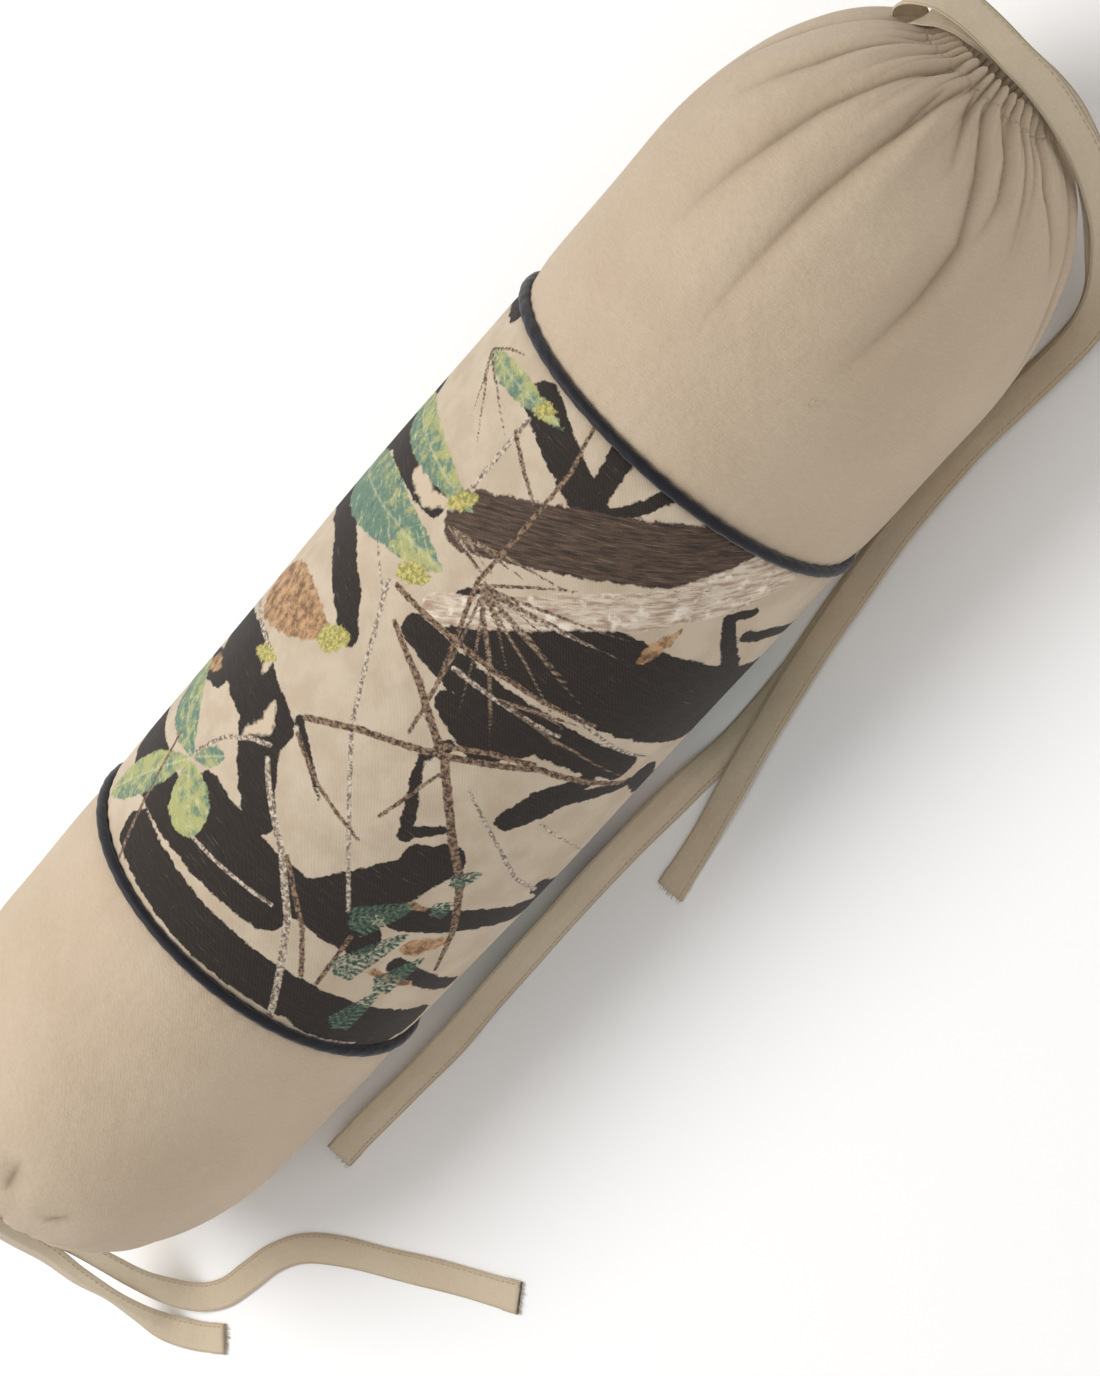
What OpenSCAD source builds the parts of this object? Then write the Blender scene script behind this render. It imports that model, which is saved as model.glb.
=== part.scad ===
// A stuffed cloth bolster that lies on its side. A removable cover of three panels is piped at both
// seams and drawn together round a mouth at each end; an inner pad of calico and fibre fills it.
// The drum runs along X. Its underside is pressed flat by its own weight and rests on Z = 0.

/* [Drum] */
// Radius of the filled cover
body_radius = 90; // [70:1:120]
// Length of the printed panel between the two seams
centre_length = 310; // [220:5:420]
// Straight part of each plain end panel, before it turns in
straight_length = 80; // [50:5:120]
// Length of the right end, from the straight part to its mouth
right_dome_length = 110; // [80:5:150]
// Length of the left end, from the straight part to its mouth
left_dome_length = 120; // [80:5:150]
// How far the underside is pressed in where the drum rests
flat_depth = 2; // [1:0.5:6]

/* [Cloth] */
// Thickness of the cover cloth
cloth = 0.8; // [0.6:0.1:1.2]
// Width of the turned-in seam allowances
seam_allowance = 10; // [6:1:16]
// Outer diameter of the piping
piping_diameter = 5; // [4:0.5:8]
// Thickness of the strip round the piping's filler cord
piping_cloth = 0.6; // [0.4:0.1:0.9]

/* [Mouths] */
// Radius of the open mouth inside the drawn-up hem
mouth_radius = 25; // [18:1:34]
// Thickness of the bunched cloth on each side of the drawstring
bunched_cloth = 1.8; // [1.2:0.1:3]
// How far the drawn-up hem stands out past the end of the dome
hem_standout = 7.8; // [2:0.2:9]
// Angle of the drawstring slit, from the top towards +Y
slit_angle = 58; // [30:1:75]
// Width of the slit round the hem
slit_width = 7; // [7:0.5:12]
// Free gap between the drawn-up hem and the end panel round it
mouth_gap = 0.4; // [0.3:0.1:1]

/* [Drawstrings] */
// Width of the flat tape
tape_width = 15; // [10:0.5:15]
// Thickness of the folded tape
tape_thickness = 1.6; // [1:0.1:1.7]
// Play of the tape inside its channel, on each side of its width
tape_play = 0.5; // [0.3:0.1:1]
// How much deeper the channel is than the tape's thickness
channel_play = 0.6; // [0.4:0.1:1]

/* [Inner pad] */
// Thickness of the calico casing
casing = 0.7; // [0.5:0.1:1.2]
// Free depth between each mouth's hem and the pad behind it
pad_setback = 6; // [3:1:20]
// Clearance between layers that touch in use
layer_gap = 0.1; // [0.05:0.05:0.3]

/* [Hidden] */
$fn = 96;

right = 1;
left = -1;
khaki = "#c9b698";
print_ground = "#8a7a63";
piping_navy = "#23222e";
calico = "#ddd3bd";
fibre = "#f0eee6";

eps = 1;
big = 4 * (centre_length + body_radius);
dome_steps = 16;
piping_sides = 12;

// The drum's axis height and the shift that puts the whole length's middle over the origin
axis_z = body_radius - flat_depth;
drum_shift = (left_dome_length - right_dome_length) / 2;

// Stations along the drum, each measured from its middle
seam_x = centre_length / 2;
piping_radius = piping_diameter / 2;
straight_end_x = seam_x + straight_length;
function dome_length(side) = side == right ? right_dome_length : left_dome_length;
function mouth_x(side) = straight_end_x + dome_length(side);

// Layers of the piped seam, from the outside in
allowance_outer = body_radius - cloth;
flange_outer = allowance_outer - cloth - layer_gap;
flange_inner = flange_outer - 2 * piping_cloth;
end_allowance_outer = flange_inner - layer_gap;
end_allowance_inner = end_allowance_outer - cloth;
pad_radius = end_allowance_inner - 2 * layer_gap;

// The drawn-up hem with its channel, and the loop of tape in it
channel_half_width = tape_width / 2 + tape_play + bunched_cloth;
cavity_inner = mouth_radius + bunched_cloth;
cavity_outer = cavity_inner + tape_thickness + channel_play;
hem_outer = cavity_outer + bunched_cloth;
hem_corner = 1;
notch_width = 2.8 * slit_width;
notch_reach = 1.3 * tape_width;
notch_lean = 6;
slit_turn = 2 * asin(slit_width / 2 / hem_outer);
loop_inner = cavity_inner + channel_play / 4;
loop_outer = loop_inner + tape_thickness;
dome_mouth_radius = hem_outer + mouth_gap;
function hem_middle(side) = mouth_x(side) + hem_standout - channel_half_width;
function pad_end_x(side) = hem_middle(side) - channel_half_width - pad_setback;

// Routes of the four free tape tails, from the slit to the cut end, measured from the drum's middle.
// Each row is a point on the tape's middle line and the direction across its width there.
right_short_route = [
    [343, 25.3, 101.6, 1, 0, 0], [343, 33, 107, 1, 0, 0], [347, 37, 114, 0.9, -0.2, -0.2],
    [354, 35, 121, 0.8, 0.1, -0.5], [361, 26, 122, 0.8, 0.3, -0.5], [364, 14, 118, 0.85, 0.3, -0.4],
    [364, 1, 112, 0.9, 0.1, -0.4], [363, -11, 107, 0.9, 0, -0.4], [362, -24, 100, 0.9, -0.1, -0.45],
    [358, -38, 91, 0.85, -0.1, -0.5], [350, -53, 77, 0.8, -0.2, -0.5], [337, -63, 57, 0.75, -0.1, -0.6],
    [322, -68, 37, 0.6, -0.5, -0.6], [306, -71, 20, 0.3, -0.8, -0.5], [288, -71, 9, 0.1, -1, -0.2],
    [267, -69, 4, 0, -1, 0], [243, -67, 3, 0, -1, 0], [205, -66, 3, 0, -1, 0],
    [165, -69, 3, -0.1, -1, 0], [125, -75, 3, -0.15, -1, 0], [90, -81, 3, -0.2, -1, 0],
    [55, -89, 3, -0.2, -1, 0], [28, -96, 3, -0.2, -1, 0], [2, -102, 1, -0.2, -1, 0], [-27, -108, 1, -0.2, -1, 0]];
right_long_route = [
    [343, 23.6, 104.4, 1, 0, 0], [343, 28, 111, 1, 0, 0], [348, 28, 115, 0.9, -0.2, -0.2],
    [355, 23, 116, 0.8, 0.1, -0.5], [359, 16, 114, 0.8, 0.3, -0.5], [361, 8, 111, 0.85, 0.3, -0.4],
    [362, 0, 107, 0.9, 0.1, -0.4], [362, -11, 102, 0.9, 0, -0.4], [362, -22, 95, 0.9, -0.1, -0.45],
    [359, -35, 86, 0.85, -0.1, -0.5], [350, -49, 73, 0.8, -0.2, -0.5], [336, -58, 54, 0.75, -0.1, -0.6],
    [321, -64, 34, 0.6, -0.5, -0.6], [306, -67, 16, 0.3, -0.8, -0.5], [289, -68, 5, 0.1, -1, -0.2],
    [266, -66, 1, 0, -1, 0], [240, -63, 1, 0, -1, 0], [203, -62, 1, 0, -1, 0],
    [165, -66, 1, -0.1, -1, 0], [125, -72, 1, -0.1, -1, 0], [85, -78, 1, -0.1, -1, 0],
    [45, -80, 1, 0, -1, 0], [10, -79, 3, 0, -1, -0.3], [-40, -79, 6, 0, -1, -0.8],
    [-90, -80, 6, 0, -1, -0.9], [-130, -81, 6, 0, -1, -0.9], [-165, -82, 5, 0, -1, -0.6],
    [-200, -81, 4, 0, -1, -0.5], [-230, -80, 4, 0, -1, -0.5], [-253, -80, 4, 0, -1, -0.5]];
left_short_route = [
    [-353, 25.3, 101.6, 1, 0, 0], [-353, 33, 107, 1, 0, 0], [-357, 37, 113, 0.9, 0.2, 0.2],
    [-365, 34, 119, 0.8, -0.2, 0.5], [-374, 23, 118, 0.8, -0.3, 0.5], [-381, 10, 108, 0.9, -0.2, 0.4],
    [-386, -2, 93, 0.9, 0, 0.3], [-390, -13, 76, 0.9, 0, 0.3], [-393, -25, 57, 0.9, 0, 0.3],
    [-396, -39, 42, 0.8, 0.1, 0.5], [-396, -53, 28, 0.7, 0.1, 0.7], [-396, -66, 15, 0.8, 0.2, 0.5],
    [-394, -77, 6, 0.9, 0.5, 0.1], [-386, -88, 2, 0.7, 0.7, 0], [-379, -95, 1, 0.6, 0.7, 0],
    [-371, -102, 1, 0.6, 0.8, 0]];
left_long_route = [
    [-353, 23.6, 104.4, 1, 0, 0], [-353, 28, 111, 1, 0, 0], [-359, 27, 114, 0.9, 0.2, 0.2],
    [-367, 22, 114.5, 0.8, -0.2, 0.5], [-373, 14, 109, 0.8, -0.3, 0.5], [-377, 5, 100, 0.9, -0.2, 0.4],
    [-379, -4, 86, 0.9, 0, 0.3], [-380, -16, 69, 0.9, 0, 0.3], [-380, -29, 52, 0.9, 0, 0.3],
    [-380, -43, 37, 0.9, 0.1, 0.4], [-380, -56, 22, 0.9, 0.2, 0.4], [-376, -68, 10, 0.8, 0.5, 0.2],
    [-368, -78, 3, 0.4, 0.9, 0.1], [-355, -85, 1, 0.2, 1, 0], [-338, -88, 1, 0.1, 1, 0],
    [-320, -91, 1, 0.2, 1, 0], [-302, -99, 1, 0.4, 0.9, 0], [-284, -115, 1, 0.7, 0.7, 0],
    [-264, -138, 1, 0.75, 0.65, 0], [-242, -163, 1, 0.77, 0.64, 0], [-216, -195, 1, 0.77, 0.64, 0]];

// Outline of the tape's section, as [across, through] pairs with softened edges
tape_edge = tape_thickness / 5;
tape_section = [
    [tape_width / 2, -tape_edge], [tape_width / 2, tape_edge],
    [tape_width / 2 - tape_edge, tape_thickness / 2], [-tape_width / 2 + tape_edge, tape_thickness / 2],
    [-tape_width / 2, tape_edge], [-tape_width / 2, -tape_edge],
    [-tape_width / 2 + tape_edge, -tape_thickness / 2], [tape_width / 2 - tape_edge, -tape_thickness / 2]];

function unit(v) = v / norm(v);
function width_hint(row) = [row[3], row[4], row[5]];
function heading(line, i) = unit(line[min(i + 1, len(line) - 1)] - line[max(i - 1, 0)]);
function across(row, t) = let (w = width_hint(row)) unit(w - (w * t) * t);
function tape_ring(line, rows, i) =
    let (t = heading(line, i), w = across(rows[i], t), n = cross(w, t))
    [for (p = tape_section) line[i] + p[0] * w + p[1] * n];

// Carries the routes over to other sizes. The rows near a mouth keep their place round the loop and
// its slit, and the rows lying on the floor keep their place beside the drum.
route_axis_z = 88;
route_loop_radius = 28.55;
route_body_radius = 90;
route_slit_angle = 58;
route_hem_x = 343;
left_route_shift = 10;
route_rows_near_slit = 12;
function route_hem_middle(side) = side == right ? route_hem_x : route_hem_x + left_route_shift;
function floor_share(far) =
    min(1, max(0, (far - route_loop_radius) / (route_body_radius - route_loop_radius)));
function turn_with_slit(i) =
    (slit_angle - route_slit_angle) * max(0, 1 - i / route_rows_near_slit);
function by_mouth(y, z, far, turn) =
    let (spread = 1 + (loop_outer - route_loop_radius) / max(far, route_loop_radius))
    [spread * (y * cos(turn) + z * sin(turn)), axis_z + spread * (z * cos(turn) - y * sin(turn))];
function by_floor(y, z) = [y * body_radius / route_body_radius, z * axis_z / route_axis_z];
function placed(side, row, i) =
    let (far = norm([row[1], row[2] - route_axis_z]), share = floor_share(far),
        near = by_mouth(row[1], row[2] - route_axis_z, far, turn_with_slit(i)),
        yz = (1 - share) * near + share * by_floor(row[1], row[2]))
    [row[0] + side * (hem_middle(side) - route_hem_middle(side)), yz[0], yz[1]];
function dome_outline(outer, inner, start, length) =
    [for (i = [0:dome_steps])
        [inner + (outer - inner) * cos(90 * i / dome_steps), start + length * sin(90 * i / dome_steps)]];

// Puts a solid made along Z onto the drum's axis
module on_axis() {
    translate([drum_shift, 0, axis_z])
        rotate([0, 90, 0])
            children();
}

// Draws a right-hand piece, or its mirror image on the left
module at_side(side) {
    if (side == right)
        on_axis() children();
    else
        on_axis() mirror([0, 0, 1]) children();
}

// Keeps what lies above the pressed underside of a layer of this radius
module pressed(radius) {
    intersection() {
        children();
        translate([-big / 2, -big / 2, body_radius - radius])
            cube(big);
    }
}

// A solid length of drum of one layer's radius, pressed flat underneath
module drum(side, radius, start, end) {
    pressed(radius)
        at_side(side)
            translate([0, 0, start])
                cylinder(h = end - start, r = radius);
}

// A layer between two radii
module drum_layer(side, outer, inner, start, end) {
    difference() {
        drum(side, outer, start, end);
        drum(side, inner, start - eps, end + eps);
    }
}

// One layer of a whole end as a solid: a straight run from the start, then a dome down to a neck
module drum_end(side, radius, neck, start, length, stub) {
    pressed(radius)
        at_side(side)
            rotate_extrude()
                polygon(concat([[0, start], [radius, start]],
                    dome_outline(radius, neck, straight_end_x, length),
                    stub > 0 ? [[neck, straight_end_x + length + stub]] : [],
                    neck > 0 ? [[0, straight_end_x + length + stub]] : []));
}

// A ring of the piping's round section over the seam, cut level where it presses on the floor
module piping_round(side, radius) {
    pressed(body_radius)
        at_side(side)
            translate([0, 0, seam_x])
                rotate_extrude()
                    translate([body_radius, 0])
                        circle(r = radius, $fn = piping_sides);
}

// One wide printed band; its edges are folded back under it at both seams
module centre_panel() {
    edge = seam_x - piping_radius;
    color(print_ground)
        for (side = [right, left]) {
            drum_layer(side, body_radius, allowance_outer, 0, edge);
            drum_layer(side, allowance_outer, allowance_outer - cloth, edge - seam_allowance, edge);
        }
}

// Cuts the opening in an end panel's edge that both tails come out through, in line with the slit
module tail_notch(side) {
    depth = tape_width;
    on_axis()
        rotate([0, 0, 180 - slit_angle + notch_lean])
            translate([hem_outer - bunched_cloth, -notch_width / 2, side * mouth_x(side) - depth / 2])
                cube([notch_reach + bunched_cloth, notch_width, depth]);
}

// A plain panel from the piped seam to the mouth, with its edge turned in under the seam
module end_panel(side) {
    length = dome_length(side);
    start = seam_x + piping_radius;
    color(khaki) {
        difference() {
            drum_end(side, body_radius, dome_mouth_radius, start, length, 0);
            drum_end(side, allowance_outer, dome_mouth_radius, start - eps, length - cloth, cloth + eps);
            tail_notch(side);
        }
        drum_layer(side, body_radius, end_allowance_inner, start, start + cloth);
        drum_layer(side, end_allowance_outer, end_allowance_inner, start - seam_allowance, start + cloth);
    }
}

// The strip round the filler cord, with its two edges as a flange in the seam
module piping_strip(side) {
    color(piping_navy)
        difference() {
            union() {
                piping_round(side, piping_radius);
                drum_layer(side, flange_outer, flange_inner, seam_x - seam_allowance, seam_x);
                drum_layer(side, body_radius - piping_radius + piping_cloth / 2, flange_inner,
                    seam_x - piping_cloth, seam_x + piping_cloth);
            }
            piping_round(side, piping_radius - piping_cloth);
        }
}

module piping_cord(side) {
    color(calico)
        piping_round(side, piping_radius - piping_cloth - layer_gap);
}

// The drawn-up hem: a ring of bunched cloth with the tape's channel inside and one slit
module drawstring_channel(side) {
    color(khaki)
        on_axis()
            translate([0, 0, side * hem_middle(side)])
                rotate([0, 0, 180 - slit_angle]) {
                    rotate([0, 0, slit_turn / 2])
                        rotate_extrude(angle = 360 - slit_turn)
                            hem_section(cavity_outer);
                    rotate([0, 0, -slit_turn / 2])
                        rotate_extrude(angle = slit_turn)
                            hem_section(hem_outer + eps);
                }
}

// Section of the drawn-up hem, with the tape's channel reaching out to a given radius
module hem_section(channel_reach) {
    w = channel_half_width;
    c = hem_corner;
    difference() {
        polygon([
            [mouth_radius, -w + c], [mouth_radius, w - c], [mouth_radius + c, w],
            [hem_outer - c, w], [hem_outer, w - c], [hem_outer, -w + c],
            [hem_outer - c, -w], [mouth_radius + c, -w]]);
        translate([cavity_inner, -tape_width / 2 - tape_play])
            square([channel_reach - cavity_inner, tape_width + 2 * tape_play]);
    }
}

// The part of the tape that runs round inside the channel
module drawstring_loop(side) {
    color(khaki)
        at_side(side)
            translate([0, 0, hem_middle(side) - tape_width / 2])
                rotate_extrude()
                    translate([loop_inner, 0])
                        square([tape_thickness, tape_width]);
}

// A free tail of flat tape along its route
module tail(side, route) {
    rings = len(route);
    line = [for (i = [0:rings - 1]) placed(side, route[i], i)];
    sides = len(tape_section);
    color(khaki)
        translate([drum_shift, 0, 0])
            polyhedron(
                points = [for (i = [0:rings - 1]) each tape_ring(line, route, i)],
                faces = concat(
                    [[for (j = [0:sides - 1]) j]],
                    [[for (j = [sides - 1:-1:0]) (rings - 1) * sides + j]],
                    [for (i = [0:rings - 2], j = [0:sides - 1])
                        let (a = i * sides + j, b = i * sides + (j + 1) % sides)
                        each j < sides / 2
                            ? [[a, a + sides, b + sides], [a, b + sides, b]]
                            : [[a, a + sides, b], [b, a + sides, b + sides]]]));
}

module pad_casing_tube() {
    color(calico)
        for (side = [right, left])
            drum_layer(side, pad_radius, pad_radius - casing, 0, straight_end_x);
}

// The rounded calico end of the pad
module pad_casing_end(side) {
    length = pad_end_x(side) - straight_end_x;
    hollow = pad_radius - casing;
    color(calico)
        difference() {
            drum_end(side, pad_radius, 0, straight_end_x, length, 0);
            drum_end(side, hollow, 0, straight_end_x - eps, length - casing, 0);
        }
}

module pad_filling() {
    radius = pad_radius - casing - layer_gap;
    color(fibre)
        for (side = [right, left])
            drum_end(side, radius, 0, 0, pad_end_x(side) - straight_end_x - casing - layer_gap, 0);
}

centre_panel();
end_panel(right);  // right_end_panel
end_panel(left);  // left_end_panel
piping_strip(right);  // right_piping_strip
piping_strip(left);  // left_piping_strip
piping_cord(right);  // right_piping_cord
piping_cord(left);  // left_piping_cord
drawstring_channel(right);  // right_drawstring_channel
drawstring_channel(left);  // left_drawstring_channel
drawstring_loop(right);  // right_drawstring_loop
drawstring_loop(left);  // left_drawstring_loop
tail(right, right_long_route);  // right_tail_long
tail(right, right_short_route);  // right_tail_short
tail(left, left_long_route);  // left_tail_long
tail(left, left_short_route);  // left_tail_short
pad_casing_tube();
pad_casing_end(right);  // pad_casing_right_end
pad_casing_end(left);  // pad_casing_left_end
pad_filling();
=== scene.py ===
# %% [markdown]
# # A stuffed cloth bolster with piped seams and drawstring mouths
# The real object is a fibre-filled pad inside a removable cover. The cover has one printed band in the
# middle, a plain panel at each end, dark piping between them, and a flat tape that draws each end
# together. Every piece here is laid over a measured frame, so that sizes stay true while looks improve.

import math

import bmesh
import bpy
import numpy as np
from mathutils import Matrix, Vector


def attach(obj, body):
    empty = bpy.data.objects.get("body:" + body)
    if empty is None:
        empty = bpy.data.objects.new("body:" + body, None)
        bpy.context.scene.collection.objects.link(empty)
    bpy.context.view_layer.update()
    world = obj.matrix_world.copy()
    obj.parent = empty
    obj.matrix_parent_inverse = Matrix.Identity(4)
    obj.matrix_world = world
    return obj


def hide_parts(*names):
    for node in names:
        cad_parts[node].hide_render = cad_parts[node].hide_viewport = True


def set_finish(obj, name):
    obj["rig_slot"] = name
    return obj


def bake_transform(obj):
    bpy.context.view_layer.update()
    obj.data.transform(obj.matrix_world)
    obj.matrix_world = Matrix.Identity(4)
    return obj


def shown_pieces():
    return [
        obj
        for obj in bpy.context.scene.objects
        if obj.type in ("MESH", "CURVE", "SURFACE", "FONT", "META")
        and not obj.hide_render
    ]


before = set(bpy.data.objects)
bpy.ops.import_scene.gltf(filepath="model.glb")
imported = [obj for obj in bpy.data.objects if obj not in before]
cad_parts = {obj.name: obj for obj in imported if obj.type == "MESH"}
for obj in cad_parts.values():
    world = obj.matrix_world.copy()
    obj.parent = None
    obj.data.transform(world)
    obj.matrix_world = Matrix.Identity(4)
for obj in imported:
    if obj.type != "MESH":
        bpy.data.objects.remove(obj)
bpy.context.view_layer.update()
MM = 0.001

# %% [markdown]
# ## The camera
# A camera can be placed by hand or built from a position, an aim and a roll. The bolster is seen from
# high above one corner with the picture turned, so the three axes of the camera are written out as
# directions, which keeps the roll exact and needs no constraints.

# %% Camera
DRUM_SHIFT = 5.0
CAMERA_LENS = 83.72
camera_place = Vector((557.1 + DRUM_SHIFT, -605.6, 1251.4)) * MM
camera_aim = Vector((17.3 + DRUM_SHIFT, -25.7, 67.5)) * MM
camera_up_hint = Vector((0.686, 0.726, 0.043))


def add_camera(place, aim, up_hint, lens):
    back = (place - aim).normalized()
    right = up_hint.cross(back).normalized()
    up = back.cross(right)
    data = bpy.data.cameras.new("studio_camera")
    data.lens = lens
    data.sensor_width = 36
    data.dof.use_dof = False
    data.clip_start = 0.05
    data.clip_end = 30
    camera = bpy.data.objects.new("studio_camera", data)
    camera.matrix_world = Matrix.Translation(place) @ Matrix((right, up, back)).transposed().to_4x4()
    bpy.context.scene.collection.objects.link(camera)
    bpy.context.scene.camera = camera
    return camera


camera = add_camera(camera_place, camera_aim, camera_up_hint, CAMERA_LENS)
print("camera distance", round((camera_place - camera_aim).length, 3), "m")

# %% [markdown]
# ## Turning rows of points into cloth
# Most pieces here are grids: rows of points that run round the drum or along a tape. A grid is quicker to
# shape with numbers than with modifiers, and it can carry its own flat cloth coordinates, so that a
# weave keeps its scale however the cloth is bent. Those coordinates are kept in millimetres.

# %% Mesh helpers
def link_mesh(name, mesh):
    piece = bpy.data.objects.new(name, mesh)
    bpy.context.scene.collection.objects.link(piece)
    mesh.polygons.foreach_set("use_smooth", np.ones(len(mesh.polygons), bool))
    return piece


def grid_faces(rows, columns, wrap):
    across = columns if wrap else columns - 1
    i, j = np.meshgrid(np.arange(rows - 1), np.arange(across), indexing="ij")
    i, j = i.ravel(), j.ravel()
    after = (j + 1) % columns
    corners = [i * columns + j, i * columns + after, (i + 1) * columns + after, (i + 1) * columns + j]
    flat_corners = [(i, j), (i, j + 1), (i + 1, j + 1), (i + 1, j)]
    return np.stack(corners, 1), flat_corners


def grid_piece(name, points, cloth, wrap=True, flip=False, caps=False, values=None):
    """points is rows x columns x 3 in mm; cloth is rows x (columns + 1) x 2 in mm of flat cloth."""
    rows, columns = points.shape[:2]
    faces, flat_corners = grid_faces(rows, columns, wrap)
    order = [3, 2, 1, 0] if flip else [0, 1, 2, 3]
    faces = faces[:, order]
    polygons = faces.tolist()
    coordinates = np.stack([cloth[flat_corners[k]] for k in order], 1).reshape(-1, 2)
    if caps:
        first = list(range(columns))
        last = [(rows - 1) * columns + j for j in range(columns)]
        for cap in (last, first[::-1]) if flip else (last[::-1], first):
            polygons.append(cap[::-1])
            coordinates = np.vstack([coordinates, np.zeros((columns, 2))])
    mesh = bpy.data.meshes.new(name)
    mesh.from_pydata((points.reshape(-1, 3) * MM).tolist(), [], polygons)
    layer = mesh.uv_layers.new(name="cloth")
    layer.data.foreach_set("uv", coordinates.astype(np.float32).ravel())
    for key, value in (values or {}).items():
        attribute = mesh.attributes.new(key, "FLOAT", "POINT")
        attribute.data.foreach_set("value", value.astype(np.float32).ravel())
    mesh.update()
    return link_mesh(name, mesh)


def settle_on_floor(points, firmness=0.5):
    """Presses whatever would be under the floor level with it, with a soft edge."""
    z = points[..., 2]
    points[..., 2] = (z + np.sqrt(z * z + 4 * firmness * firmness)) / 2
    return points


def thicken(piece, thickness, outward=0.0):
    solid = piece.modifiers.new("thickness", "SOLIDIFY")
    solid.thickness = thickness * MM
    solid.offset = outward
    apply_modifiers(piece)


def apply_modifiers(piece):
    evaluated = piece.evaluated_get(bpy.context.evaluated_depsgraph_get())
    mesh = bpy.data.meshes.new_from_object(evaluated)
    piece.modifiers.clear()
    old = piece.data
    piece.data = mesh
    mesh.name = piece.name
    bpy.data.meshes.remove(old)


print("mesh helpers ready")
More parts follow.
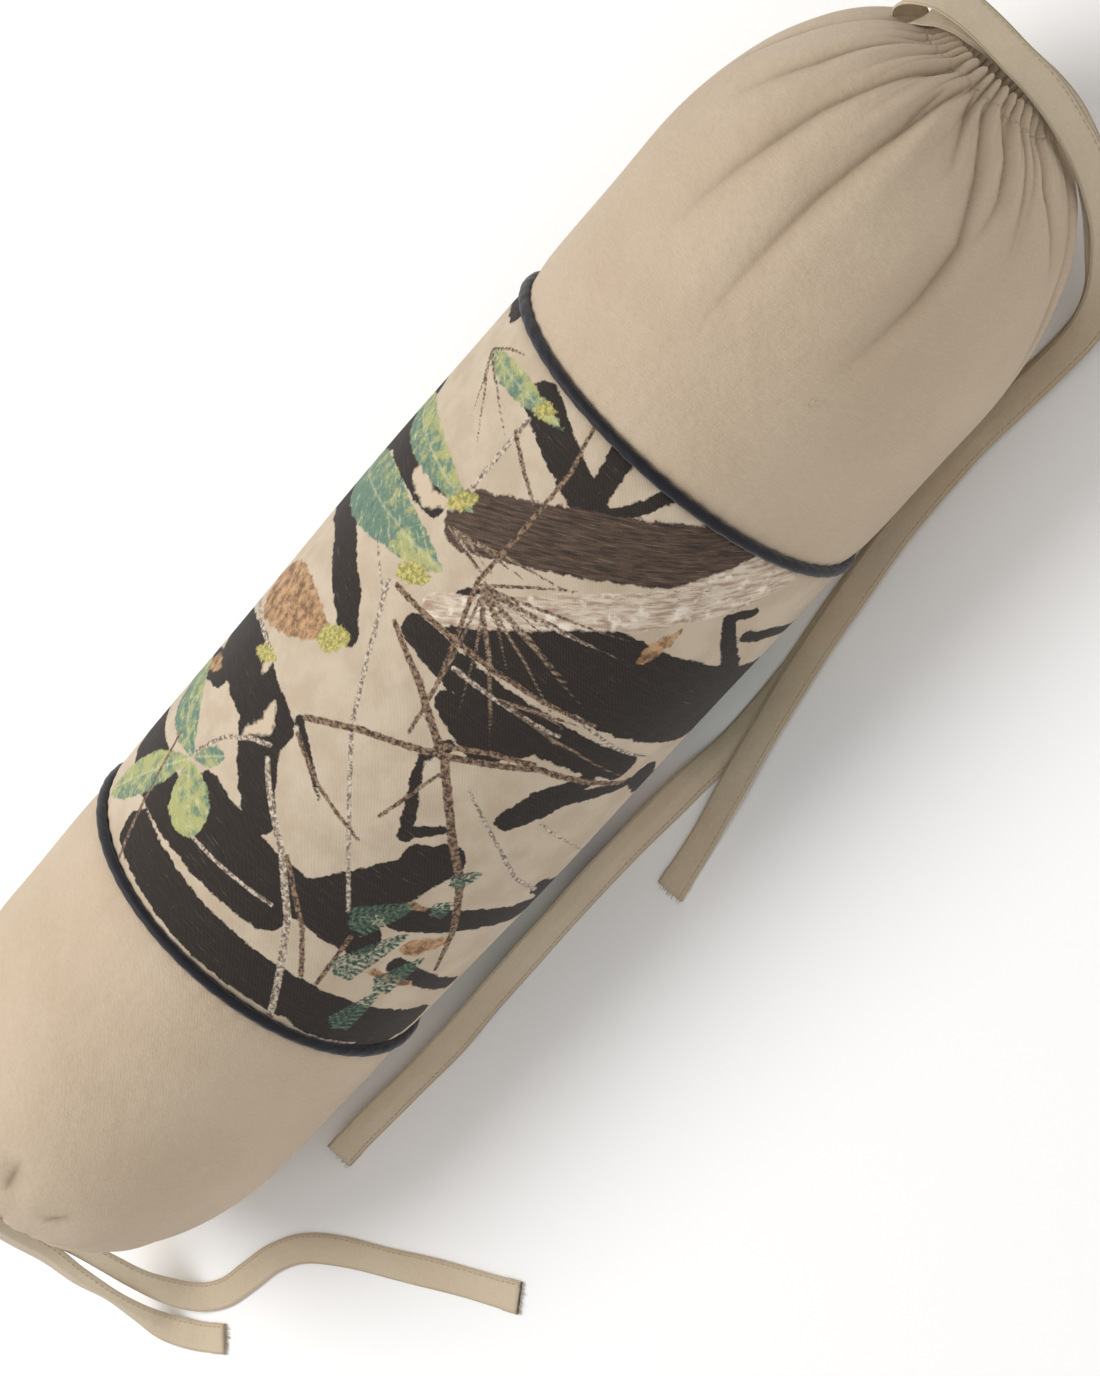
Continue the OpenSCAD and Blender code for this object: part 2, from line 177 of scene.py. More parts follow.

# %% [markdown]
# ## The routes of the tape tails
# Each mouth lets out two tails of one flat drawstring. On the real cover they are limp folded twill, about
# 15 mm wide, that hang over the end and lie where they fall. They could be draped by simulation, but a
# tape that has to land in known places is easier to lead as listed points with a width direction.

# %% Routes of the tails
# Each row is a point on the tape's middle line and the direction across its width there, in mm.
TAPE_ROUTES = {
    "right_tail_short": [
        [343, 25.3, 101.6, 1, 0, 0], [343, 33, 107, 1, 0, 0], [347, 37, 114, 0.9, -0.2, -0.2],
        [354, 35, 121, 0.8, 0.1, -0.5], [361, 26, 122, 0.8, 0.3, -0.5], [364, 14, 118, 0.85, 0.3, -0.4],
        [364, 1, 112, 0.9, 0.1, -0.4], [363, -11, 107, 0.9, 0, -0.4], [362, -24, 100, 0.9, -0.1, -0.45],
        [358, -38, 91, 0.85, -0.1, -0.5], [350, -53, 77, 0.8, -0.2, -0.5], [337, -63, 57, 0.75, -0.1, -0.6],
        [322, -68, 37, 0.6, -0.5, -0.6], [306, -71, 20, 0.3, -0.8, -0.5], [288, -71, 9, 0.1, -1, -0.2],
        [267, -69, 4, 0, -1, 0], [243, -67, 3, 0, -1, 0], [205, -66, 3, 0, -1, 0],
        [165, -69, 3, -0.1, -1, 0], [125, -75, 3, -0.15, -1, 0], [90, -81, 3, -0.2, -1, 0],
        [55, -89, 3, -0.2, -1, 0], [28, -96, 3, -0.2, -1, 0], [2, -102, 1, -0.2, -1, 0],
        [-27, -108, 1, -0.2, -1, 0]],
    "right_tail_long": [
        [343, 23.6, 104.4, 1, 0, 0], [343, 28, 111, 1, 0, 0], [348, 28, 115, 0.9, -0.2, -0.2],
        [355, 23, 116, 0.8, 0.1, -0.5], [359, 16, 114, 0.8, 0.3, -0.5], [361, 8, 111, 0.85, 0.3, -0.4],
        [362, 0, 107, 0.9, 0.1, -0.4], [362, -11, 102, 0.9, 0, -0.4], [362, -22, 95, 0.9, -0.1, -0.45],
        [359, -35, 86, 0.85, -0.1, -0.5], [350, -49, 73, 0.8, -0.2, -0.5], [336, -58, 54, 0.75, -0.1, -0.6],
        [321, -64, 34, 0.6, -0.5, -0.6], [306, -67, 16, 0.3, -0.8, -0.5], [289, -68, 5, 0.1, -1, -0.2],
        [266, -66, 1, 0, -1, 0], [240, -63, 1, 0, -1, 0], [203, -62, 1, 0, -1, 0],
        [165, -66, 1, -0.1, -1, 0], [125, -72, 1, -0.1, -1, 0], [85, -78, 1, -0.1, -1, 0],
        [45, -80, 1, 0, -1, 0], [10, -79, 3, 0, -1, -0.3], [-40, -79, 6, 0, -1, -0.8],
        [-90, -80, 6, 0, -1, -0.9], [-130, -81, 6, 0, -1, -0.9], [-165, -82, 5, 0, -1, -0.6],
        [-200, -81, 4, 0, -1, -0.5], [-230, -80, 4, 0, -1, -0.5], [-253, -80, 4, 0, -1, -0.5]],
    "left_tail_short": [
        [-353, 25.3, 101.6, 1, 0, 0], [-353, 33, 107, 1, 0, 0], [-357, 37, 113, 0.9, 0.2, 0.2],
        [-365, 34, 119, 0.8, -0.2, 0.5], [-374, 23, 118, 0.8, -0.3, 0.5], [-381, 10, 108, 0.9, -0.2, 0.4],
        [-386, -2, 93, 0.9, 0, 0.3], [-390, -13, 76, 0.9, 0, 0.3], [-393, -25, 57, 0.9, 0, 0.3],
        [-396, -39, 42, 0.8, 0.1, 0.5], [-396, -53, 28, 0.7, 0.1, 0.7], [-396, -66, 15, 0.8, 0.2, 0.5],
        [-394, -77, 6, 0.9, 0.5, 0.1], [-386, -88, 2, 0.7, 0.7, 0], [-379, -95, 1, 0.6, 0.7, 0],
        [-371, -102, 1, 0.6, 0.8, 0]],
    "left_tail_long": [
        [-353, 23.6, 104.4, 1, 0, 0], [-353, 28, 111, 1, 0, 0], [-359, 27, 114, 0.9, 0.2, 0.2],
        [-367, 22, 114.5, 0.8, -0.2, 0.5], [-373, 14, 109, 0.8, -0.3, 0.5], [-377, 5, 100, 0.9, -0.2, 0.4],
        [-379, -4, 86, 0.9, 0, 0.3], [-380, -16, 69, 0.9, 0, 0.3], [-380, -29, 52, 0.9, 0, 0.3],
        [-380, -43, 37, 0.9, 0.1, 0.4], [-380, -56, 22, 0.9, 0.2, 0.4], [-376, -68, 10, 0.8, 0.5, 0.2],
        [-368, -78, 3, 0.4, 0.9, 0.1], [-355, -85, 1, 0.2, 1, 0], [-338, -88, 1, 0.1, 1, 0],
        [-320, -91, 1, 0.2, 1, 0], [-302, -99, 1, 0.4, 0.9, 0], [-284, -115, 1, 0.7, 0.7, 0],
        [-264, -138, 1, 0.75, 0.65, 0], [-242, -163, 1, 0.77, 0.64, 0], [-216, -195, 1, 0.77, 0.64, 0]],
}


def smooth_route(rows, step=2.5):
    """A smooth line through the rows at even steps, with the width direction turned along it."""
    rows = np.array(rows, float)
    rows[:, 0] += DRUM_SHIFT
    rows[:, 3:] /= np.linalg.norm(rows[:, 3:], axis=1)[:, None]
    padded = np.vstack([2 * rows[0] - rows[1], rows, 2 * rows[-1] - rows[-2]])
    fine = []
    for before, here, there, beyond in zip(padded, padded[1:], padded[2:], padded[3:]):
        for t in np.linspace(0, 1, 24, endpoint=False):
            fine.append(0.5
                        * (2 * here + (there - before) * t + (2 * before - 5 * here + 4 * there - beyond)
                           * t**2
                               + (3 * here - before - 3 * there + beyond) * t**3))
    fine = np.array(fine + [rows[-1]])
    along = np.concatenate([[0], np.cumsum(np.linalg.norm(np.diff(fine[:, :3], axis=0), axis=1))])
    even = np.linspace(0, along[-1], int(along[-1] / step) + 1)
    line = np.stack([np.interp(even, along, fine[:, k]) for k in range(6)], 1)
    heading = np.gradient(line[:, :3], axis=0)
    heading /= np.linalg.norm(heading, axis=1)[:, None]
    width = line[:, 3:] - (line[:, 3:] * heading).sum(1)[:, None] * heading
    width /= np.linalg.norm(width, axis=1)[:, None]
    return line[:, :3], width, np.cross(width, heading), even


routes = {name: smooth_route(rows) for name, rows in TAPE_ROUTES.items()}
for name, (line, _, _, along) in routes.items():
    print(name, "is", round(along[-1]), "mm long")

# %% [markdown]
# ## The tape tails
# A drawstring tape is a strip folded in half and stitched along its open edge. A plain ribbon would look
# paper-thin, so the section here has real thickness, a rolled folded edge, a shallow groove where the
# stitches pull in, and a hem at the cut end. The stitches and the loose threads are small pieces of
# their own, because they catch the light.

# %% Tape section and stitches
TAPE_WIDTH = 15.0
TAPE_THICKNESS = 1.5
STITCH_INSET = 1.9
STITCH_PITCH = 3.2
STITCH_LENGTH = 2.3
LOWEST_STITCH = 0.3
FOLD_ALONG_TAPE = {"left_tail_short": 0.42, "left_tail_long": 0.06, "right_tail_short": 0.05,
                   "right_tail_long": 0.16}


def tape_section(points_each_side=13):
    half = TAPE_WIDTH / 2 - TAPE_THICKNESS / 2
    across = np.linspace(half, -half, points_each_side)
    groove = 0.22 * np.exp(-((np.abs(across) - (half - STITCH_INSET + 0.7)) / 0.55) ** 2)
    top = np.stack([across, TAPE_THICKNESS / 2 - groove], 1)
    bottom = -top
    turn = np.radians([60, 30, 0, -30, -60])
    edge = np.stack([half + TAPE_THICKNESS / 2 * np.cos(turn), TAPE_THICKNESS / 2 * np.sin(turn)], 1)
    return np.vstack([top, -edge, bottom, edge])[::-1]


def tape_points(name, section):
    """The tape's rings, folded and rippled a little along its length, and hemmed at the end."""
    line, width, through, along = routes[name]
    fold = FOLD_ALONG_TAPE[name] * np.clip(along / 60, 0, 1) * np.clip((along[-1] - along) / 40, 0, 1)
    fold = fold * (0.75 + 0.25 * np.sin(along / 37))
    left = along[-1] - along
    hem = np.clip((9 - left) / 0.8, 0, 1)
    curl = 0.5 * np.sin(along / 23 + 1.3) * np.clip(along / 40, 0, 1)
    across = section[None, :, 0] * (1 + 0.04 * hem[:, None] - 0.02 * np.sin(along / 9)[:, None])
    lift = section[None, :, 1] * (1 + 0.55 * hem[:, None])
    lift = lift + fold[:, None] * (np.abs(across) - TAPE_WIDTH / 4)
    lift = lift + curl[:, None] * (across / TAPE_WIDTH) ** 2 * 2
    rings = line[:, None] + across[..., None] * width[:, None] + lift[..., None] * through[:, None]
    return settle_on_floor(rings, 0.12)


def small_capsules(name, starts, ends, radius, sides=6):
    """Many short closed threads as one mesh; used for stitches and loose threads."""
    starts, ends = np.array(starts), np.array(ends)
    axis = ends - starts
    length = np.linalg.norm(axis, axis=1, keepdims=True)
    axis = axis / np.maximum(length, 1e-6)
    helper = np.where(np.abs(axis[:, 2:]) < 0.9, [[0, 0, 1.0]], [[1.0, 0, 0]])
    side = np.cross(axis, helper)
    side /= np.linalg.norm(side, axis=1, keepdims=True)
    other = np.cross(axis, side)
    turn = np.arange(sides) * 2 * np.pi / sides
    ring = side[:, None] * np.cos(turn)[None, :, None] + other[:, None] * np.sin(turn)[None, :, None]
    points, faces = [], []
    for k in range(len(starts)):
        base = len(points)
        points.append(starts[k])
        for share in (0.2, 0.8):
            points.extend(starts[k] + axis[k] * length[k] * share + ring[k] * radius)
        points.append(ends[k])
        tip = base + 1 + 2 * sides
        for j in range(sides):
            n = (j + 1) % sides
            a, b = base + 1 + j, base + 1 + n
            c, d = a + sides, b + sides
            faces.extend([[base, b, a], [a, b, d, c], [tip, c, d]])
    mesh = bpy.data.meshes.new(name)
    mesh.from_pydata((np.array(points) * MM).tolist(), [], faces)
    mesh.update()
    return link_mesh(name, mesh)


def tape_stitches(name):
    """Pairs of stitches along the open edge on both faces, none of them under the floor."""
    along = routes[name][3]
    inset = TAPE_WIDTH / 2 - STITCH_INSET
    rings = tape_points(name, np.array([[inset, TAPE_THICKNESS / 2], [inset, -TAPE_THICKNESS / 2]]))
    starts, ends = [], []
    for at in np.arange(14, along[-1] - 1.5, STITCH_PITCH):
        for face in (0, 1):
            points = [np.array([np.interp(place, along, rings[:, face, k]) for k in range(3)])
                      for place in (at, at + STITCH_LENGTH)]
            for point in points:
                point[2] = max(point[2], LOWEST_STITCH)
            starts.append(points[0])
            ends.append(points[1])
    return small_capsules(name + "_stitching", starts, ends, 0.24)


def loose_threads(name, count, seed):
    """A few threads that have come out of the cut end."""
    draw = np.random.default_rng(seed)
    line, width, through, _ = routes[name]
    end, heading = line[-1], line[-1] - line[-2]
    heading = heading / np.linalg.norm(heading)
    starts, ends = [], []
    for _ in range(count):
        start = end + width[-1] * draw.uniform(-6.8,
                                               6.8) + through[-1] * draw.uniform(-0.4, 0.5) - heading * 0.6
        finish = start + heading * draw.uniform(1.6, 4.2) + width[-1] * draw.uniform(-1.4, 1.4)
        finish[2] = max(finish[2] - draw.uniform(0, 0.6), 0.25)
        starts.append(start)
        ends.append(finish)
    return small_capsules(name + "_threads", starts, ends, 0.13)


# %% Build the four tails
def build_tail(name, body, seed):
    section = tape_section()
    rings = tape_points(name, section)
    along = routes[name][3]
    around = np.concatenate([[0], np.cumsum(np.linalg.norm(np.diff(section, axis=0), axis=1))])
    around = np.append(around, around[-1] + 1)
    cloth = np.stack(np.broadcast_arrays(around[None, :], along[:, None]), -1)
    tail = grid_piece(name + "_tape", rings, cloth, caps=True)
    stitching = tape_stitches(name)
    threads = loose_threads(name, 16, seed)
    for piece in (tail, stitching, threads):
        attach(piece, body)
        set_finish(piece, "khaki_tape")
    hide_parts(name)
    print(tail.name, len(tail.data.vertices), "points")
    return tail, stitching, threads


tails = {}
for name, body, seed in (("right_tail_short", "right_mouth", 3), ("right_tail_long", "right_mouth", 5),
                         ("left_tail_short", "left_mouth", 7), ("left_tail_long", "left_mouth", 11)):
    tails[name] = build_tail(name, body, seed)

# %% [markdown]
# ## The shape of the drum
# The cover is a tube of cloth over a firm round pad. Each end is the same cloth pulled in by its
# drawstring, so one line, the meridian, describes it: straight along the drum, over the dome, out to
# a soft rim and back into the mouth. All end pieces are built from that line so that they meet exactly.

# %% Sizes and the meridian of an end
AXIS_Z = 88.0
DRUM_RADIUS = 90.0
SEAM_X = 155.0
STRAIGHT_END_X = 235.0
PIPING_RADIUS = 2.5
DOME_LENGTH = {"right": 110.0, "left": 120.0}
DOME_NECK = 31.2
SIGN = {"right": 1.0, "left": -1.0}
CLOTH = 0.7
SEAM_GAP = 1.2
LOOP_SETBACK = 2.0
LOOP_RADIUS = 28.2
# The rolled rim, as distance past the end of the dome and radius
RIM_LINE = [(0.4, 36.6), (2.4, 33.4), (5.4, 31.0), (7.4, 28.6), (7.1, 26.6), (5.0, 25.6), (0, 25.2),
            (-6, 25.4),
            (-11, 26)]


def end_meridian(side):
    """Distance along the drum, radius and distance still to go to the mouth, seam first, in mm."""
    length = DOME_LENGTH[side]
    straight = np.arange(SEAM_X + SEAM_GAP, STRAIGHT_END_X, 2.0)
    turn = np.radians(np.linspace(0, 81, 70))
    x = np.concatenate([straight, STRAIGHT_END_X + length * np.sin(turn)])
    r = np.concatenate([np.full(len(straight), DRUM_RADIUS),
                        DOME_NECK + (DRUM_RADIUS - DOME_NECK) * np.cos(turn)])
    dome_end = len(x)
    rim = np.array(RIM_LINE)
    x = np.concatenate([x, STRAIGHT_END_X + length + rim[:, 0]])
    r = np.concatenate([r, rim[:, 1]])
    along = np.concatenate([[0], np.cumsum(np.hypot(np.diff(x), np.diff(r)))])
    to_mouth = along[dome_end - 1] + 9.3 - along
    coarse = np.arange(to_mouth[0], 75, -3.2)
    fine = np.arange(75, to_mouth[-1], -1.25)
    stations = np.concatenate([coarse, fine])
    x = np.interp(-stations, -to_mouth, x)
    r = np.interp(-stations, -to_mouth, r)
    for _ in range(2):
        x[1:-1] = (x[:-2] + 2 * x[1:-1] + x[2:]) / 4
        r[1:-1] = (r[:-2] + 2 * r[1:-1] + r[2:]) / 4
    return x, r, stations


def round_drum(x, r, angles, side=1.0):
    """Points at distance x and radius r; angles in degrees from the top towards the tails."""
    a = np.radians(angles)
    return np.stack(np.broadcast_arrays(side * x + DRUM_SHIFT, -r * np.sin(a), AXIS_Z + r * np.cos(a)), -1)


for side in SIGN:
    x, r, to_mouth = end_meridian(side)
    print(side, "meridian:", len(x), "stations,", round(to_mouth[0] - to_mouth[-1]), "mm of cloth")

# %% [markdown]
# ## Creases, folds and pleats
# Where cloth is pulled in by a string, its spare width goes somewhere. Far from the mouth it makes a few
# long creases, nearer it makes soft folds, and at the rim it is packed into some forty tight pleats.
# Each kind is a height over the smooth dome: a sharp valley between round shoulders. Placing the long
# creases one by one gives each end its own character, and one rule fills in the rest.

# %% Crease and pleat heights
# A crease is a list of (angle in degrees from the top, distance to the mouth in mm), then depth in mm
RIGHT_CREASES = [
    ([(-22, 8), (-24, 32), (-25, 53), (-32, 90)], 2.4),
    ([(4, 6), (0, 24), (-7, 64), (-10, 105), (-12, 145)], 3.2),
    ([(19, 6), (15, 56), (13, 88), (13, 138), (14, 168)], 3.6), ([(14, 22), (15, 40), (17, 58)], 1.8),
    ([(34, 8), (38, 21), (46, 40), (53, 67), (52, 94), (47, 145)], 3.2),
    ([(47, 4), (55, 25), (58, 43), (56, 66)], 2.8),
    ([(77, 4), (79, 28), (89, 45), (97, 64)], 2.6), ([(24, 6), (31, 27), (37, 46)], 2.2),
    ([(64, 6), (68, 34), (70, 60)], 2.0), ([(-45, 6), (-50, 40), (-57, 92)], 2.8),
    ([(-70, 6), (-74, 50), (-76, 120)], 3.0),
    ([(-98, 6), (-104, 40), (-112, 76)], 2.4), ([(-128, 6), (-126, 60), (-131, 116)], 3.0),
    ([(-156, 6), (-160, 46)], 2.2),
    ([(174, 6), (176, 60), (172, 100)], 2.6), ([(146, 6), (150, 50), (147, 110)], 3.0),
    ([(120, 6), (126, 40), (122, 84)], 2.6),
    ([(102, 6), (108, 50), (111, 120)], 2.6)]
LEFT_CREASES = [
    ([(27, 62), (26, 72), (25, 82)], 2.6), ([(46, 60), (49, 70)], 1.4), ([(-12, 6), (-15, 44)], 2.2),
    ([(8, 6), (11, 50)], 2.4),
    ([(60, 6), (66, 44)], 2.4), ([(92, 6), (98, 50), (96, 88)], 2.6), ([(124, 6), (128, 52)], 2.6),
    ([(152, 6), (158, 64)], 2.4),
    ([(-176, 6), (-172, 56)], 2.6), ([(-140, 6), (-146, 70)], 2.6), ([(-108, 6), (-104, 52)], 2.4),
    ([(-78, 6), (-84, 72)], 2.6),
    ([(-44, 6), (-50, 58)], 2.4), ([(33, 4), (36, 30)], 2.0)]
PLEATS = {"right": 44, "left": 40}


def fade(value, start, end):
    t = np.clip((value - start) / (end - start), 0, 1)
    return t * t * (3 - 2 * t)


def crease_height(angles, to_mouth, radius, creases):
    """Sharp valleys with soft shoulders; also how far down a crease each point lies, from 0 to 1, used as
    painted shade.
    """
    height = np.zeros(np.broadcast(angles, to_mouth).shape)
    painted_crease_shade = np.zeros_like(height)
    for line, depth in creases:
        angle_at, distance_at = np.array(line).T
        middle = np.interp(to_mouth, distance_at, angle_at)
        off = (angles - middle + 180) % 360 - 180
        off = np.radians(off) * radius
        near, far = distance_at[0], distance_at[-1]
        span = far - near
        strength = fade(to_mouth, near - 7, near + 5) * (1 - fade(to_mouth, far - 0.55 * span, far + 9))
        tight = np.clip(to_mouth / 55, 0.45, 1.4)
        sharp = np.exp(-np.abs(off) / (1.9 * tight))
        broad = np.exp(-(off / (8.5 * tight)) ** 2)
        shoulder = np.exp(-((np.abs(off) - 9 * tight) / (5 * tight)) ** 2)
        height += depth * strength * (0.28 * shoulder - 0.5 * sharp - 0.5 * broad)
        # painted shade: the sharp bottom of each crease is kept to darken the cloth colour there
        painted_crease_shade = np.maximum(painted_crease_shade, strength * sharp)
    return height, painted_crease_shade


def pleat_height(angles, to_mouth, pleats, seed_turn):
    """Short tight pleats at the rim and softer folds behind them."""
    a = np.radians(angles)
    jitter = 0.9 * np.sin(3 * a + seed_turn) + 0.7 * np.sin(7 * a + 2.2) + 0.45 * np.sin(13 * a + 0.4)
    phase = pleats * a + jitter
    reach = 13 + 5 * np.sin(5 * a + seed_turn) + 3.5 * np.sin(11 * a + 1.1)
    ridge = np.abs(np.cos(phase / 2)) ** 0.8
    tight = np.exp(-np.clip(to_mouth, 0, None) / reach) * (1 - 0.35 * fade(-to_mouth, 4, 20))
    short = 3.5 * tight * (ridge - 0.62)
    soft_phase = (pleats // 2 - 5) * a + 1.3 * np.sin(2 * a + 0.6) + 0.9 * np.sin(5 * a + seed_turn)
    soft_reach = 25 + 11 * np.sin(4 * a + 1) + 7 * np.sin(9 * a + 2)
    soft = fade(to_mouth, -2, 9) * np.exp(-(np.clip(to_mouth - 8, 0, None) / soft_reach) ** 1.5)
    folds = 2.5 * soft * (np.abs(np.cos(soft_phase / 2)) ** 0.9 - 0.6)
    ruche = 0.22 * np.exp(-(to_mouth / 16) ** 2) * np.sin(to_mouth * 2.1 + 2.2 * np.sin(phase / 2))
    # how deep in a pleat or fold each point is, kept as painted shade for the pleat valleys
    depth = np.clip(1 - ridge / 0.5, 0, 1) * tight + 0.4 * np.clip(1 - np.abs(np.cos(soft_phase / 2)) / 0.4,
                                                                   0, 1) * soft
    return short + folds + ruche, depth


print(len(RIGHT_CREASES), "creases on the right end,", len(LEFT_CREASES), "on the left")

# %% [markdown]
# ## The end panels and the drawn-up hems
# Each end is one piece of cloth up to the stitch line of its hem; the hem holds the drawstring and is
# folded over the rim. They are separate pieces here, cut from the same surface along the stitch line,
# because the hem moves with the mouth while the panel does not.

# %% Gathered surface of an end
PLEAT_COLUMNS = 600
STITCH_LINE = 5.5  # mm from the mouth, where the hem is sewn


def gathered_end(side):
    x, r, to_mouth = end_meridian(side)
    angles = np.linspace(-180, 180, PLEAT_COLUMNS, endpoint=False)
    if side == "right":
        creases, pleats, seed_turn = RIGHT_CREASES, PLEATS["right"], 1.0
    else:
        creases, pleats, seed_turn = LEFT_CREASES, PLEATS["left"], 2.4
    t, m, radius = angles[None, :], to_mouth[:, None], r[:, None]
    height, painted_crease_shade = crease_height(t, m, radius, creases)
    pleated, depth = pleat_height(t, m, pleats, seed_turn)
    near_seam = m[0, 0] - m
    arc = np.radians(t) * DRUM_RADIUS
    pucker = -0.45 * np.exp(-near_seam / 5) * (0.5 + 0.5 * np.cos(arc / 1.6 + np.sin(arc / 11)))
    swell = 0.9 * fade(near_seam, 0, 14) - 0.8 * np.exp(-near_seam / 3.5) - 0.4
    drift = 0.5 * np.sin(arc / 21 + m / 37) * np.sin(m / 29 + 1.0) * fade(near_seam, 0, 30)
    height = height + pleated + pucker + swell * fade(m, 20, 90) + drift
    slope = np.arctan2(np.gradient(x), -np.gradient(r))
    out_x, out_r = np.cos(slope)[:, None], np.sin(slope)[:, None]
    points = round_drum(x[:, None] + out_x * height, radius + out_r * height, t, SIGN[side])
    points = settle_on_floor(points)
    flat_width = np.append(angles, 180) / 360 * 2 * np.pi * DRUM_RADIUS
    cloth = np.stack(np.broadcast_arrays(flat_width[None, :], m), -1)
    # crease and pleat depths together become the painted shade of the khaki finish
    return points, cloth, to_mouth, {"painted_crease_shade": np.clip(painted_crease_shade + depth, 0, 1)}


gathered = {side: gathered_end(side) for side in SIGN}
print("gathered surface", gathered["right"][0].shape)

# %% Build the end panels and hems
def build_end(side):
    points, cloth, to_mouth, values = gathered[side]
    cut = int(np.argmax(to_mouth < STITCH_LINE))
    body = side + "_mouth"
    flip = side == "left"
    rows = {"panel": slice(0, cut + 1), "hem": slice(cut, len(to_mouth))}
    made = {}
    for part, rows_kept in rows.items():
        name = side + ("_end_panel_gathered" if part == "panel" else "_hem_drawn_up")
        kept = {key: value[rows_kept] for key, value in values.items()}
        made[part] = grid_piece(name, points[rows_kept], cloth[rows_kept], flip=flip, values=kept)
        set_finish(made[part], "khaki_twill")
        thicken(made[part], CLOTH, -1.0)
    panel, hem = made["panel"], made["hem"]
    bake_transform(panel)
    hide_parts(side + "_end_panel")
    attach(hem, body)
    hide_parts(side + "_drawstring_channel")
    print(panel.name, len(panel.data.vertices), "points;", hem.name, len(hem.data.vertices), "points")
    return panel, hem


ends = {side: build_end(side) for side in SIGN}

# %% [markdown]
# ## The printed middle band
# The band is one length of twill printed with dead timber, twigs, leaves and needles on a tan ground. An
# image would be the usual way to show a print. Here the print is drawn with shapes instead: each
# branch or leaf is kept on the cloth as the distance to its edge, and the material turns those distances
# into ink, roughening every edge with noise, so that the print stays sharp however close the view is.

# %% Flat layout of the print
# Places on the flat cloth: distance from the left seam along the drum, then round the drum, in mm.
PRINT_REPEAT = 282.7


def line_distance(place, corners, widths):
    """Distance from every point to a run of straight pieces that taper from width to width."""
    corners = np.array(corners, float)
    widths = np.interp(np.arange(len(corners)), np.linspace(0, len(corners) - 1, len(np.atleast_1d(widths))),
                       np.atleast_1d(widths))
    best = np.full(place.shape[:-1], 1e3)
    for a, b, wa, wb in zip(corners, corners[1:], widths, widths[1:]):
        run = b - a
        t = np.clip(((place - a) @ run) / (run @ run), 0, 1)
        gap = np.linalg.norm(place - a - t[..., None] * run, axis=-1) - (wa + (wb - wa) * t)
        best = np.minimum(best, gap)
    return best


def leaf_distance(place, tip, base, width):
    """A pointed oval from base to tip."""
    tip, base = np.array(tip, float), np.array(base, float)
    run = base - tip
    length = np.linalg.norm(run)
    run = run / length
    along = (place - tip) @ run
    off = np.abs((place - tip) @ np.array([-run[1], run[0]]))
    share = np.clip(along / length, 0, 1)
    half = width / 2 * np.sin(np.pi * share ** 0.8) ** 0.75
    outside = np.maximum(-along, along - length)
    return np.maximum(off - half, outside), (place - tip) @ np.array([-run[1], run[0]]), along


DARK_TIMBER = [
    ([(18, 68), (16, 130), (19, 250)], (11, 11.5, 11)), ([(36, 0), (47, 140)], (12, 11)),
    ([(62, 84), (61, 180)], (9, 10)),
    ([(60, 148), (86, 172), (114, 186)], (9, 13, 10)), ([(80, 190), (92, 232), (98, 272)], (8, 6.5, 7)),
    ([(55, 206), (48, 236), (44, 258)], (5, 4.5, 4)), ([(104, 12), (112, 50), (108, 88)], (11, 15, 12)),
    ([(74, -6), (96, 40)], (7, 8)), ([(106, 80), (90, 96), (76, 112)], (13, 11, 8)),
    ([(121, 96), (113, 112), (103, 126)], (2, 1.6, 1)),
    ([(182, -4), (186, 38), (173, 74), (164, 88)], (7, 8, 8, 5)),
    ([(225, -4), (230, 40), (232, 76)], (8, 9, 7)),
    ([(212, 126), (226, 180), (232, 282)], (14, 23, 24)), ([(190, 110), (189, 170), (190, 226)], (7, 10, 8)),
    ([(176, 140), (172, 162), (184, 176)], (6, 10, 8)),
    ([(116, 164), (134, 154), (150, 147), (162, 152)], (3.4, 2.6, 2, 3)),
    ([(120, 166), (128, 176)], (3, 2)), ([(146, 196), (160, 204), (178, 214)], (6, 9, 5)),
    ([(162, 206), (174, 226), (184, 250)], (4, 4, 3)), ([(185, 250), (178, 262), (174, 276)], (8, 7, 6)),
    ([(297, 84), (288, 112), (279, 142)], (9, 8, 7)), ([(274, 134), (292, 129), (309, 126)], (5, 5, 6)),
    ([(282, 138), (296, 146), (309, 152)], (4, 3, 3.5)),
    ([(250, 242), (264, 224), (276, 212), (283, 222)], (5, 4, 3, 2.5)),
    ([(270, 230), (274, 252), (275, 270)], (3.4, 3.6, 3)), ([(303, -4), (304, 30)], (5, 4)),
    ([(14, 190), (12, 240)], (10, 11)),
    ([(110, 176), (118, 186)], (8, 4)), ([(112, 250), (106, 272)], (5, 6))]
BROWN_TRUNK = [([(240, 96), (262, 128), (286, 166), (312, 210)], (13, 14, 15, 16))]
BIRCH = [([(203, 110), (222, 132), (240, 150), (268, 184), (288, 202), (308, 216)], (6.5, 7, 8, 9.5, 12, 13))]
WHITE_PATCHES = [([(96, 80), (106, 86), (114, 82)], (2, 4, 2)),
                 ([(232, 58), (230, 72), (238, 84)], (5, 4, 2)),
                 ([(150, 70), (158, 80)], (5, 3)), ([(2, 14), (20, 4), (32, -2)], (5, 7, 6)),
                 ([(120, 64), (128, 62)], (2.6, 2))]
